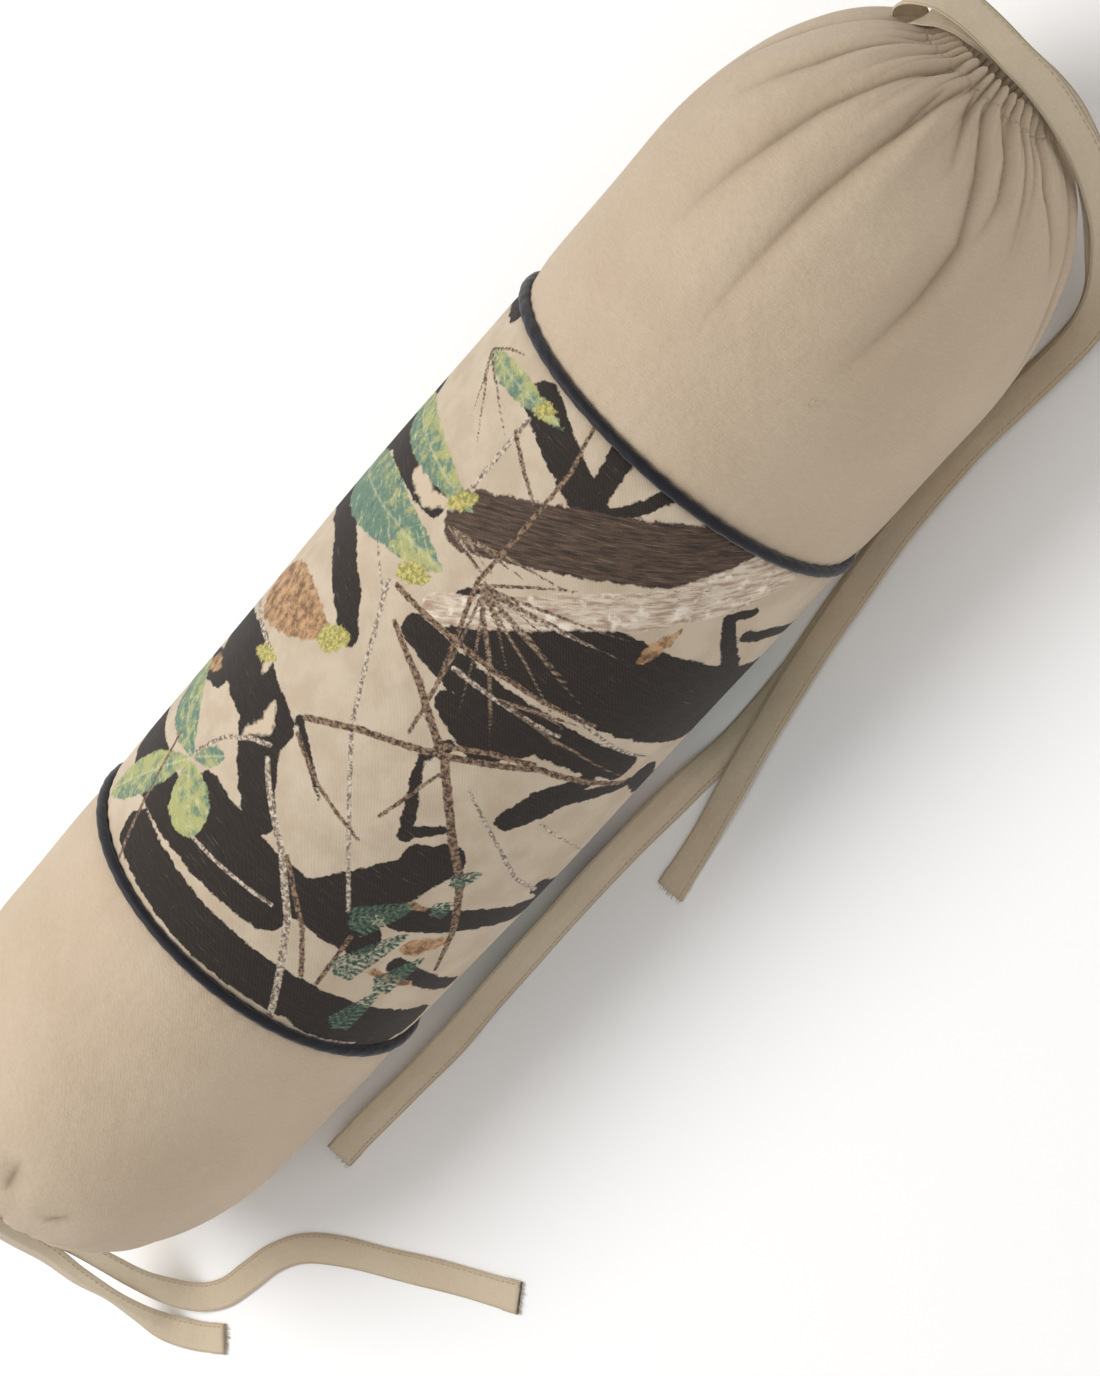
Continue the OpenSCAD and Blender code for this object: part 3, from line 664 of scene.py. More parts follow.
PALE_TWIGS = [
    ([(70, 168), (105, 142), (140, 115), (175, 96), (194, 85)], (0.9, 1.1, 1.2)),
    ([(0, 176), (25, 164), (50, 150), (72, 130), (90, 105), (97, 97)], (1.6, 1.7, 1.4)),
    ([(44, 94), (47, 120), (50, 141)], 0.9), ([(150, 212), (142, 240), (130, 272)], (0.8, 0.7, 0.6)),
    ([(110, 250), (118, 225), (150, 172)], (1.2, 1.1, 0.8)), ([(0, 180), (5, 222)], 0.9),
    ([(205, 185), (199, 212), (197, 240)], (1, 1, 0.7)),
    ([(250, 86), (288, 85)], (1.2, 1.3)), ([(62, 62), (84, 72), (96, 84), (102, 94)], (1, 1.1, 1)),
    ([(188, 88), (200, 64), (206, 82)], 0.7),
    ([(116, -4), (124, 30), (126, 60)], (1.6, 1.3, 1)),
    ([(232, 96), (226, 128), (236, 170)], (0.8, 0.7, 0.5)), ([(190, 132), (193, 186)], (1.1, 0.8))]
BROWN_TWIGS = [
    ([(124, 98), (140, 120), (156, 152), (175, 190), (181, 238)], (1.5, 1.5, 1.7, 1.4)),
    ([(185, 100), (175, 125), (155, 155), (125, 182), (108, 200), (82, 218), (57, 229)],
     (1.2, 1.8, 2, 2, 1.9, 1.1)),
    ([(155, 136), (182, 131), (208, 122), (225, 116), (262, 116), (288, 115), (309, 109)], (0.9, 1.1, 0.9)),
    ([(30, 172), (50, 158), (73, 132)], (1.2, 1.1)), ([(116, 100), (108, 120), (101, 150)], (1.2, 1, 0.8)),
    ([(196, 90), (200, 130), (205, 196)], (1.4, 1.2, 0.9)), ([(30, 180), (60, 177)], 1.1),
    ([(4, 70), (30, 58), (62, 46)], (1.1, 1)),
    ([(160, 150), (170, 168), (176, 186)], (1.4, 1.2)), ([(116, 150), (152, 158)], (0.9, 0.7)),
    ([(280, 84), (266, 112)], (1.1, 0.8))]
NEEDLES = [((225, 118),
            [(173, 165), (181, 160), (196, 185), (210, 186), (216, 172), (227, 150), (238, 185), (247, 181),
             (252, 150), (204, 150)]),
           ((231, 90), [(232, 118), (240, 130), (223, 135), (250, 150)]),
           ((192, 155), [(188, 190), (198, 185), (202, 192), (184, 238)]),
           ((288, 36), [(261, 75), (275, 82), (302, 60), (266, 60)]), ((226, 120), [(158, 136), (176, 146)])]
LEAVES = [
    # tip, base, width, how green (0 olive, 1 teal)
    ((7, 26), (62, 64), 21, 0.45), ((43, 94), (62, 65), 25, 0.35), ((76, -4), (64, 65), 24, 0.6),
    ((80, 80), (65, 66), 9, 0.7),
    ((197, -12), (217, 100), 30, 0.75), ((206, 40), (216, 102), 20, 0.3), ((240, -8), (243, 94), 19, 0.55),
    ((288, 36), (297, 100), 11, 0.5)]
AUTUMN_LEAVES = [((133, 6), (156, 82), 30), ((85, 14), (94, 36), 9), ((48, 192), (46, 226), 5),
                 ((64, 200), (76, 222), 10), ((87, 186), (88, 196), 5),
                 ((240, 190), (262, 196), 7)]
YELLOW_SPOTS = [((150, 76), (164, 90), 12), ((119, 50), (126, 66), 7), ((200, 84), (210, 100), 10),
                ((236, 82), (250, 92), 8), ((292, 84), (300, 92), 7)]
FERNS = [((38, 183), (73, 198), 8), ((64, 172), (88, 190), 9), ((11, 203), (38, 209), 8),
         ((38, 206), (63, 216), 8), ((86, 200), (96, 206), 7),
         ((104, 196), (116, 206), 6)]

# %% Draw the print as distances
def fern_distance(place, root, tip, spread):
    """A frond: a stem with leaflets on both sides that get shorter towards the tip."""
    root, tip = np.array(root, float), np.array(tip, float)
    run = tip - root
    length = np.linalg.norm(run)
    run = run / length
    along = (place - root) @ run
    off = (place - root) @ np.array([-run[1], run[0]])
    reach = spread * np.sqrt(np.clip(1 - along / length, 0, 1)) * np.clip(along / 3, 0.3, 1)
    slant = along - 0.55 * np.abs(off)
    comb = np.abs((slant / 3.1) % 1 - 0.5) * 3.1 - 0.95
    blade = np.maximum(np.maximum(np.abs(off) - reach, comb * 0.8), np.maximum(-along, along - length))
    return np.minimum(blade, np.maximum(np.abs(off) - 0.5, np.maximum(-along, along - length)))


def print_layers(place):
    """Signed distances in mm, negative inside a shape, for every kind of print on the cloth."""
    far = np.full(place.shape[:-1], 50.0)
    layers = {key: far.copy()
              for key in ("timber", "trunk", "birch", "pale", "pale_twig", "brown_twig", "needle",
                                          "leaf", "autumn", "yellow", "fern")}
    teal, rib = np.zeros_like(far), far.copy()
    for key, shapes in (("timber", DARK_TIMBER), ("trunk", BROWN_TRUNK), ("birch", BIRCH),
                        ("pale", WHITE_PATCHES),
                        ("pale_twig", PALE_TWIGS), ("brown_twig", BROWN_TWIGS)):
        for corners, widths in shapes:
            layers[key] = np.minimum(layers[key], line_distance(place, corners, widths))
    for root, tips in NEEDLES:
        for tip in tips:
            bend = (np.array(root) + np.array(tip)) / 2 + np.array([2.0, 1.0])
            layers["needle"] = np.minimum(layers["needle"],
                                          line_distance(place, [root, bend, tip], (0.75, 0.7, 0.25)))
    for tip, base, width, green in LEAVES:
        gap, off, along = leaf_distance(place, tip, base, width)
        inside = gap < layers["leaf"]
        teal = np.where(inside, green + 0.35 * np.clip(off / width, -0.5, 0.5), teal)
        side_rib = np.abs(((along - 0.9 * np.abs(off)) / 7.5) % 1 - 0.5) * 7.5
        rib = np.where(inside, np.minimum(np.abs(off), side_rib + 0.25), rib)
        layers["leaf"] = np.minimum(layers["leaf"], gap)
    for key, shapes in (("autumn", AUTUMN_LEAVES), ("yellow", YELLOW_SPOTS)):
        for tip, base, width in shapes:
            layers[key] = np.minimum(layers[key], leaf_distance(place, tip, base, width)[0])
    for root, tip, spread in FERNS:
        layers["fern"] = np.minimum(layers["fern"], fern_distance(place, root, tip, spread))
    layers["teal"], layers["rib"] = teal, rib
    return layers


# %% Build the middle band
BAND_ROWS = 250
BAND_COLUMNS = 480
BAND_SEAM_DEGREES = 60


def build_band():
    half = SEAM_X - SEAM_GAP
    x = np.linspace(-half, half, BAND_ROWS)
    angles = np.linspace(-180, 180, BAND_COLUMNS, endpoint=False)
    arc = np.radians(angles) * DRUM_RADIUS
    to_seam = (half - np.abs(x))[:, None]
    pucker = 0.5 * np.exp(-to_seam / 5.5) * (0.5 + 0.5 * np.cos(arc / 1.55 + np.sin(arc / 13)))[None, :]
    ripple = 0.35 * np.sin(arc / 17 + 1)[None, :] * np.sin(x / 31)[:, None]
    crown = 0.9 * np.cos(x / half * np.pi / 2)[:, None]
    seam_dip = 1.9 * np.exp(-to_seam / 2.6)
    radius = DRUM_RADIUS + crown - seam_dip - pucker + ripple
    back = np.radians(angles + BAND_SEAM_DEGREES)[None, :] * DRUM_RADIUS
    radius = radius + 0.5 * np.exp(-((back - 4) / 3.5) ** 2) - 1.0 * np.exp(-(back / 0.9) ** 2)
    points = settle_on_floor(round_drum(x[:, None], radius, angles[None, :]))
    flat = np.stack(np.broadcast_arrays(np.append(arc, np.pi * DRUM_RADIUS)[None, :], x[:, None]), -1)
    round_place = (arc + DRUM_RADIUS * math.radians(BAND_SEAM_DEGREES)) % PRINT_REPEAT
    place = np.stack(np.broadcast_arrays(x[:, None] + SEAM_X, round_place[None, :]), -1)
    layers = print_layers(place)
    for shift in (PRINT_REPEAT, -PRINT_REPEAT):
        beside = print_layers(place + [0, shift])
        inside = beside["leaf"] < layers["leaf"]
        for key in ("teal", "rib"):
            layers[key] = np.where(inside, beside[key], layers[key])
        for key in set(layers) - {"teal", "rib"}:
            layers[key] = np.minimum(layers[key], beside[key])
    band = grid_piece("centre_panel_printed", points, flat, values=layers)
    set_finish(band, "printed_twill")
    thicken(band, CLOTH, -1.0)
    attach(band, "bolster")
    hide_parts("centre_panel")
    print(band.name, len(band.data.vertices), "points,", len(layers), "print layers")
    return band


band = build_band()

# %% [markdown]
# ## Piping, drawstring loops and the inner pad
# Piping is a bias strip folded round a filler cord and caught in the seam, so it is modelled as a sleeve
# with its flat flange, and the cord inside it as one line with a twisted three-lobed section. The loops
# of tape run round in the hems. The pad is a calico case with fibre in it; it only shows through the
# mouths, yet it is what makes the cover round, so it gets its own gathers and lumps.

# %% Swept rings and revolved layers
def ring_sweep(radius_of_ring, section_of, steps=420):
    """Sweeps a section, given for each angle as (out, along) offsets, round the drum's axis."""
    angles = np.linspace(-180, 180, steps, endpoint=False)
    rows = [section_of(a) for a in angles]
    return angles, np.array(rows) + np.array([radius_of_ring, 0.0])


def build_ring(name, side, x_middle, radius, section_of, slot_name, body, floor=True):
    angles, rows = ring_sweep(radius, section_of)
    points = np.stack([round_drum(x_middle + row[:, 1], row[:, 0], angle, SIGN[side])
                       for angle, row in zip(angles, rows)])
    if floor:
        points = settle_on_floor(points, 0.3)
    around = np.concatenate([[0], np.cumsum(np.linalg.norm(np.diff(rows[0], axis=0), axis=1))])
    arc = np.radians(np.append(angles, 180)) * radius
    cloth = np.stack(np.broadcast_arrays(np.append(around, around[-1] + 1)[:, None], arc[None, :]), -1)
    piece = grid_piece(name, np.swapaxes(points, 0, 1), cloth, flip=side == "right")
    close_section(piece, points.shape[1], points.shape[0])
    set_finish(piece, slot_name)
    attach(piece, body)
    return piece


def close_section(piece, around, steps):
    """Joins the last row of a swept ring back to its first, which makes it a closed tube."""
    shape = bmesh.new()
    shape.from_mesh(piece.data)
    shape.verts.ensure_lookup_table()
    last_row = (around - 1) * steps
    for j in range(steps):
        n = (j + 1) % steps
        shape.faces.new([shape.verts[k] for k in (last_row + j, last_row + n, n, j)])
    bmesh.ops.recalc_face_normals(shape, faces=shape.faces)
    shape.to_mesh(piece.data)
    shape.free()
    piece.data.polygons.foreach_set("use_smooth", np.ones(len(piece.data.polygons), bool))


def sleeve_section(angle):
    turn = np.radians(np.arange(0, 360, 22.5))
    wrinkle = 0.10 * np.cos(turn * 3 + math.radians(angle) * 60) + 0.06 * math.sin(math.radians(angle) * 37)
    reach = PIPING_RADIUS - 0.05 + wrinkle
    return np.stack([reach * np.cos(turn), reach * np.sin(turn)], 1)


def strand_section(angle):
    turn = np.radians(np.arange(0, 360, 20))
    reach = 1.45 + 0.22 * np.cos(3 * turn + math.radians(angle) * 70)
    return np.stack([reach * np.cos(turn), reach * np.sin(turn)], 1)


def flange_section(angle):
    wave = 0.12 * math.sin(math.radians(angle) * 45)
    return np.array([(-1.8 + wave, -10), (-1.8 + wave, 0.4), (-3.0 + wave, 0.4), (-3.0 + wave, -10)])


def loop_section(angle):
    wave = 0.15 * math.sin(math.radians(angle) * 9)
    return np.array([(0.65 + wave, -7.3), (0.8 + wave, -6.6), (0.8 + wave, 6.6), (0.65 + wave, 7.3),
                     (-0.65 + wave, 7.3), (-0.8 + wave, 6.6), (-0.8 + wave, -6.6), (-0.65 + wave, -7.3)])


# %% Build piping and loops
for side in SIGN:
    sleeve = build_ring(side + "_piping_sleeve", side, SEAM_X, DRUM_RADIUS + 0.1, sleeve_section,
                        "navy_piping", "bolster")
    flange = build_ring(side + "_piping_flange", side, SEAM_X, DRUM_RADIUS - 0.6, flange_section,
                        "navy_piping", "bolster")
    cord = build_ring(side + "_piping_filler", side, SEAM_X, DRUM_RADIUS + 0.1, strand_section, "filler_cord",
                      "bolster")
    loop_x = STRAIGHT_END_X + DOME_LENGTH[side] - LOOP_SETBACK
    loop = build_ring(side + "_drawstring_in_hem", side, loop_x, LOOP_RADIUS, loop_section, "khaki_tape",
                      side + "_mouth", floor=False)
    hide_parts(side + "_piping_strip")
    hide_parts(side + "_piping_cord")
    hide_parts(side + "_drawstring_loop")
    print(side, "piping and loop made")

# %% The inner pad
PAD_RADIUS = 86.0
CASE_CLOTH = 0.6
FILLING_INSET = 2.2
PAD_SETBACK = 17.8


def pad_outline(side, radius, setback):
    """The end of a pad layer from the straight part to its middle point."""
    length = DOME_LENGTH[side] - PAD_SETBACK - setback
    turn = np.radians(np.linspace(0, 90, 46))
    return STRAIGHT_END_X + length * np.sin(turn), radius * np.cos(turn) + 0.35


def pad_layer(name, x, r, side, tucks, depth, slot_name, node, thickness):
    angles = np.linspace(-180, 180, 240, endpoint=False)
    t = np.radians(angles)[None, :]
    share = np.clip(r / r.max(), 0, 1)[:, None]
    pleats = np.abs(np.cos(t * tucks / 2 + np.sin(3 * t))) - 0.6
    gather = depth * (1 - share) ** 0.7 * np.clip(r / 6, 0, 1)[:, None] * pleats
    lumps = 0.5 * np.sin(x[:, None] / 19 + 2 * t) * np.sin(3 * t + x[:, None] / 43)
    relief = (gather + lumps) * np.clip(r / 12, 0, 1)[:, None]
    rounded = round_drum(x[:, None], r[:, None] - 0.6 + relief, angles[None, :], SIGN[side])
    points = settle_on_floor(rounded, 0.9)
    points[..., 2] += 0.9
    cloth = np.stack(np.broadcast_arrays((np.append(angles, 180) / 57.3 * 86)[None, :], x[:, None]), -1)
    piece = grid_piece(name, points, cloth, flip=side == "left")
    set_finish(piece, slot_name)
    if thickness:
        thicken(piece, thickness, -1.0)
    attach(piece, "bolster")
    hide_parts(node)
    return piece


tube_x = np.linspace(-STRAIGHT_END_X, STRAIGHT_END_X, 120)
pad_tube = pad_layer("pad_case_tube", tube_x, np.full(120, PAD_RADIUS), "right", 12, 0.0, "calico",
                     "pad_casing_tube", CASE_CLOTH)
for side in SIGN:
    x, r = pad_outline(side, PAD_RADIUS, 0.0)
    pad_layer(side + "_pad_case_end", x, r, side, 30, 2.6, "calico",
                               "pad_casing_" + side + "_end", CASE_CLOTH)
right_x, right_r = pad_outline("right", PAD_RADIUS - FILLING_INSET, FILLING_INSET)
left_x, left_r = pad_outline("left", PAD_RADIUS - FILLING_INSET, FILLING_INSET)
filling_x = np.concatenate([-left_x[::-1], np.linspace(-STRAIGHT_END_X, STRAIGHT_END_X, 60)[1:-1], right_x])
filling_r = np.concatenate([left_r[::-1], np.full(58, PAD_RADIUS - FILLING_INSET), right_r])
filling = pad_layer("pad_fibre_filling", filling_x, filling_r, "right", 14, 1.5, "fibre_filling",
                    "pad_filling", 0)
print("inner pad made")

# %% [markdown]
# ## Small sewn details
# Stitches hold the channel shut just behind the rim, and one pulled thread stands out of the right end.
# They are tiny, but they tell the eye how big the cloth is. Each is a short closed thread laid on the
# surface that it is sewn into.

# %% Hem stitches and a pulled thread
HEM_STITCH_EVERY = 5  # columns of the gathered surface from one stitch to the next
HEM_STITCH_SPAN = 3
SNAG_DEGREES = 47.5
SNAG_TO_MOUTH = 151


def hem_stitches(side):
    points, _, to_mouth, _ = gathered[side]
    row = int(np.argmax(to_mouth < STITCH_LINE + 1.0))
    ring = points[row]
    starts, ends = [], []
    for k in range(0, PLEAT_COLUMNS, HEM_STITCH_EVERY):
        lift = np.array([SIGN[side] * 0.18, 0, 0])
        starts.append(ring[k] + lift)
        ends.append(ring[(k + HEM_STITCH_SPAN) % PLEAT_COLUMNS] + lift)
    piece = small_capsules(side + "_hem_stitching", starts, ends, 0.2)
    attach(piece, side + "_mouth")
    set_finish(piece, "khaki_tape")
    return piece


def pulled_thread():
    """One thread caught and drawn out of the right end panel."""
    points, _, to_mouth, _ = gathered["right"]
    row = int(np.argmin(np.abs(to_mouth - SNAG_TO_MOUTH)))
    column = int(round((SNAG_DEGREES + 180) / 360 * PLEAT_COLUMNS))
    at = points[row, column]
    out = np.array([0, -math.sin(math.radians(SNAG_DEGREES)), math.cos(math.radians(SNAG_DEGREES))])
    side = np.array([1.0, 0, 0])
    knots = [at - out * 0.4, at + out * 1.2 + side * 1.4, at + out * 2.1 + side * 0.2,
             at + out * 1.5 - side * 1.7,
             at - out * 0.3 - side * 2.6]
    piece = small_capsules("pulled_thread", knots[:-1], knots[1:], 0.3)
    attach(piece, "bolster")
    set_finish(piece, "khaki_twill")
    return piece


for side in SIGN:
    hem_stitches(side)
pulled_thread()
print("hem stitches and one pulled thread made")

# %% [markdown]
# ## Finishes
# Everything here is cloth, so the finishes share their effects: a twill weave, the uneven tone of dyed
# cotton, and a mask that turns a stored distance into the edge of a printed shape. Each effect is a
# node group with named inputs, built once; the shader itself stays in each material.

# %% Node helpers
def add_node(tree, kind, inputs=None, **settings):
    made = tree.nodes.new(kind)
    for key, value in settings.items():
        setattr(made, key, value)
    for key, value in (inputs or {}).items():
        if isinstance(value, bpy.types.NodeSocket):
            tree.links.new(value, made.inputs[key])
        else:
            made.inputs[key].default_value = value
    return made


def maths(tree, operation, first, second=0.0, third=0.0):
    made = add_node(tree, "ShaderNodeMath", {0: first, 1: second, 2: third}, operation=operation)
    return made.outputs[0]


def ramp(tree, value, low, high, out_low=0.0, out_high=1.0):
    made = add_node(tree, "ShaderNodeMapRange",
                    {"Value": value, "From Min": low, "From Max": high, "To Min": out_low,
                                                 "To Max": out_high}, interpolation_type="SMOOTHSTEP")
    return made.outputs["Result"]


def noise(tree, place, scale, detail=3.0, roughness=0.55):
    made = add_node(tree, "ShaderNodeTexNoise",
                    {"Vector": place, "Scale": scale, "Detail": detail, "Roughness": roughness})
    return made.outputs["Fac"]


def linear(code):
    """A web colour as linear red, green, blue and alpha."""
    parts = [int(code[k:k + 2], 16) / 255 for k in (0, 2, 4)]
    return tuple(c / 12.92 if c <= 0.04045 else ((c + 0.055) / 1.055) ** 2.4 for c in parts) + (1.0,)


def blend_colour(tree, mask, under, over):
    made = add_node(tree, "ShaderNodeMix", data_type="RGBA")
    for socket, value in ((made.inputs[0], mask), (made.inputs[6], under), (made.inputs[7], over)):
        if isinstance(value, bpy.types.NodeSocket):
            tree.links.new(value, socket)
        else:
            socket.default_value = value
    return made.outputs[2]


def group_with(name, inputs, outputs):
    tree = bpy.data.node_groups.new(name, "ShaderNodeTree")
    for label, kind, value in inputs:
        socket = tree.interface.new_socket(label, in_out="INPUT", socket_type=kind)
        if value is not None:
            socket.default_value = value
    for label, kind in outputs:
        tree.interface.new_socket(label, in_out="OUTPUT", socket_type=kind)
    start, end = tree.nodes.new("NodeGroupInput"), tree.nodes.new("NodeGroupOutput")
    return tree, start.outputs, end.inputs


def place_group(tree, group, inputs):
    return add_node(tree, "ShaderNodeGroup", inputs, node_tree=group).outputs


print("node helpers ready")

# %% Shared effects: weave, cotton tone and ink edge
def build_twill_weave():
    """Slanted ribs of twill, crossed by the finer weft, with places given in mm of flat cloth."""
    tree, given, gives = group_with("twill_weave",
                                    [("Cloth", "NodeSocketVector", None), ("Pitch", "NodeSocketFloat", 0.8)],
                                    [("Height", "NodeSocketFloat"), ("Rib", "NodeSocketFloat")])
    parts = add_node(tree, "ShaderNodeSeparateXYZ", {0: given["Cloth"]}).outputs
    wobble = maths(tree, "MULTIPLY", noise(tree, given["Cloth"], 0.35, 2.0), 1.1)
    slant = maths(tree, "ADD", maths(tree, "ADD", parts[0], maths(tree, "MULTIPLY", parts[1], 0.8)), wobble)
    turns = maths(tree, "DIVIDE", maths(tree, "MULTIPLY", slant, 6.283), given["Pitch"])
    rib = maths(tree, "MULTIPLY_ADD", maths(tree, "SINE", turns), 0.5, 0.5)
    weft = maths(tree, "DIVIDE", maths(tree, "MULTIPLY", maths(tree, "SUBTRACT", parts[1], parts[0]), 9.0),
                 given["Pitch"])
    weft = maths(tree, "MULTIPLY_ADD", maths(tree, "SINE", weft), 0.5, 0.5)
    tree.links.new(maths(tree, "MULTIPLY_ADD", weft, 0.35, maths(tree, "MULTIPLY", rib, 0.65)),
                   gives["Height"])
    tree.links.new(rib, gives["Rib"])
    return tree


def build_cotton_tone():
    """Slow unevenness of dyed cotton, and the small dark slubs of its yarn."""
    tree, given, gives = group_with("cotton_tone",
                                    [("Cloth", "NodeSocketVector", None), ("Size", "NodeSocketFloat", 1.0)],
                                    [("Tone", "NodeSocketFloat"), ("Slub", "NodeSocketFloat")])
    slow = noise(tree, given["Cloth"], 0.013, 3.0)
    stretched = add_node(tree, "ShaderNodeVectorMath", {0: given["Cloth"], 1: (0.25, 1.6, 1.0)},
                         operation="MULTIPLY").outputs[0]
    yarn = noise(tree, stretched, 0.9, 2.0)
    across = add_node(tree, "ShaderNodeVectorMath", {0: given["Cloth"], 1: (1.6, 0.22, 1.0)},
                      operation="MULTIPLY").outputs[0]
    weft = noise(tree, across, 0.9, 2.0)
    tone = maths(tree, "ADD", maths(tree, "MULTIPLY", slow, 0.6), maths(tree, "MULTIPLY", yarn, 0.4))
    tree.links.new(tone, gives["Tone"])
    tree.links.new(ramp(tree, maths(tree, "MULTIPLY", maths(tree, "ADD", yarn, weft), given["Size"]), 1.18,
                        1.45), gives["Slub"])
    return tree


def build_ink_edge():
    """Turns the distance to a shape's edge into ink with a ragged edge."""
    tree, given, gives = group_with("ink_edge",
                                    [("Distance", "NodeSocketFloat", 1.0),
                                     ("Cloth", "NodeSocketVector", None),
                                                 ("Ragged", "NodeSocketFloat", 1.0),
                                                 ("Grain", "NodeSocketFloat", 0.25),
                                                 ("Soft", "NodeSocketFloat", 0.25)],
                                                 [("Ink", "NodeSocketFloat")])
    torn = maths(tree, "SUBTRACT", noise(tree, given["Cloth"], given["Grain"], 6.0, 0.68), 0.5)
    moved = maths(tree, "ADD", given["Distance"],
                  maths(tree, "MULTIPLY", torn, maths(tree, "MULTIPLY", given["Ragged"], 3.2)))
    ink = maths(tree, "DIVIDE", maths(tree, "SUBTRACT", given["Soft"], moved),
                maths(tree, "MULTIPLY", given["Soft"], 2.0))
    clamped = add_node(tree, "ShaderNodeClamp", {"Value": ink}).outputs[0]
    tree.links.new(clamped, gives["Ink"])
    return tree


TWILL_WEAVE, COTTON_TONE, INK_EDGE = build_twill_weave(), build_cotton_tone(), build_ink_edge()
print("shared effects:", TWILL_WEAVE.name, COTTON_TONE.name, INK_EDGE.name)

# %% A cloth shader that every finish starts from
def cloth_material(name, roughness, sheen):
    material = bpy.data.materials.new(name)
    material.use_nodes = True
    tree = material.node_tree
    shader = tree.nodes["Principled BSDF"]
    shader.inputs["Roughness"].default_value = roughness
    shader.inputs["Specular IOR Level"].default_value = 0.25
    shader.inputs["Sheen Weight"].default_value = sheen
    shader.inputs["Sheen Roughness"].default_value = 0.45
    flat = add_node(tree, "ShaderNodeUVMap", uv_map="cloth").outputs[0]
    return material, tree, shader, flat


def stored(tree, key):
    return add_node(tree, "ShaderNodeAttribute", attribute_name=key).outputs["Fac"]


def connect_bump(tree, shader, height, depth_mm, strength=1.0):
    bump = add_node(tree, "ShaderNodeBump",
                    {"Strength": strength, "Distance": depth_mm * MM, "Height": height})
    tree.links.new(bump.outputs[0], shader.inputs["Normal"])


# %% Khaki twill
def khaki_twill():
    material, tree, shader, flat = cloth_material("khaki_twill", 0.92, 0.12)
    weave = place_group(tree, TWILL_WEAVE, {"Cloth": flat, "Pitch": 0.85})
    tone = place_group(tree, COTTON_TONE, {"Cloth": flat, "Size": 1.0})
    colour = blend_colour(tree, ramp(tree, tone["Tone"], 0.3, 0.7), linear("bda991"), linear("c9b7a0"))
    colour = blend_colour(tree, maths(tree, "MULTIPLY", tone["Slub"], 0.3), colour, linear("a8957a"))
    colour = blend_colour(tree, maths(tree, "MULTIPLY", weave["Rib"], 0.10), colour, linear("a59272"))
    # painted shade: darker brown deep in the creases and pleats of the end cloth
    colour = blend_colour(tree, maths(tree, "MULTIPLY", stored(tree, "painted_crease_shade"), 0.7), colour,
                          linear("806a52"))
    tree.links.new(colour, shader.inputs["Base Color"])
    rumple = noise(tree, flat, 0.09, 5.0, 0.6)
    height = maths(tree, "MULTIPLY_ADD", rumple, 2.6, maths(tree, "MULTIPLY", weave["Height"], 0.22))
    connect_bump(tree, shader, height, 0.6, 0.8)
    return material


# %% Khaki tape
def khaki_tape():
    material, tree, shader, flat = cloth_material("khaki_tape", 0.9, 0.12)
    weave = place_group(tree, TWILL_WEAVE, {"Cloth": flat, "Pitch": 0.8})
    tone = place_group(tree, COTTON_TONE, {"Cloth": flat, "Size": 1.1})
    colour = blend_colour(tree, ramp(tree, tone["Tone"], 0.3, 0.7), linear("c3b299"), linear("d0c1aa"))
    colour = blend_colour(tree, maths(tree, "MULTIPLY", tone["Slub"], 0.35), colour, linear("ad9a7c"))
    colour = blend_colour(tree, maths(tree, "MULTIPLY", weave["Rib"], 0.10), colour, linear("a59272"))
    tree.links.new(colour, shader.inputs["Base Color"])
    rumple = noise(tree, flat, 0.12, 4.0, 0.6)
    height = maths(tree, "MULTIPLY_ADD", rumple, 1.8, maths(tree, "MULTIPLY", weave["Height"], 0.25))
    connect_bump(tree, shader, height, 0.5, 0.8)
    return material


# %% Sewing thread
def sewing_thread():
    material, tree, shader, _ = cloth_material("sewing_thread", 0.7, 0.2)
    place = add_node(tree, "ShaderNodeTexCoord").outputs["Object"]
    twist = noise(tree, place, 2600.0, 2.0)
    colour = blend_colour(tree, ramp(tree, twist, 0.35, 0.65), linear("a08c6a"), linear("cdbd9b"))
    tree.links.new(colour, shader.inputs["Base Color"])
    connect_bump(tree, shader, twist, 0.1, 0.6)
    return material


# %% Navy piping
def navy_piping():
    material, tree, shader, flat = cloth_material("navy_piping", 0.55, 0.25)
    weave = place_group(tree, TWILL_WEAVE, {"Cloth": flat, "Pitch": 0.7})
    tone = place_group(tree, COTTON_TONE, {"Cloth": flat, "Size": 1.0})
    colour = blend_colour(tree, ramp(tree, tone["Tone"], 0.3, 0.7), linear("121118"), linear("1e1d26"))
    colour = blend_colour(tree, maths(tree, "MULTIPLY", tone["Slub"], 0.4), colour, linear("45434f"))
    tree.links.new(colour, shader.inputs["Base Color"])
    tree.links.new(ramp(tree, tone["Tone"], 0.2, 0.8, 0.45, 0.7), shader.inputs["Roughness"])
    height = maths(tree, "MULTIPLY_ADD", noise(tree, flat, 0.25, 3.0), 1.2,
                   maths(tree, "MULTIPLY", weave["Height"], 0.3))
    connect_bump(tree, shader, height, 0.35, 0.8)
    return material


# %% Filler cord, calico and fibre
def filler_cord():
    material, tree, shader, flat = cloth_material("filler_cord", 0.85, 0.2)
    tone = place_group(tree, COTTON_TONE, {"Cloth": flat, "Size": 1.2})
    colour = blend_colour(tree, ramp(tree, tone["Tone"], 0.3, 0.7), linear("d2c8b0"), linear("ebe3cf"))
    tree.links.new(colour, shader.inputs["Base Color"])
    connect_bump(tree, shader, tone["Tone"], 0.3, 0.7)
    return material


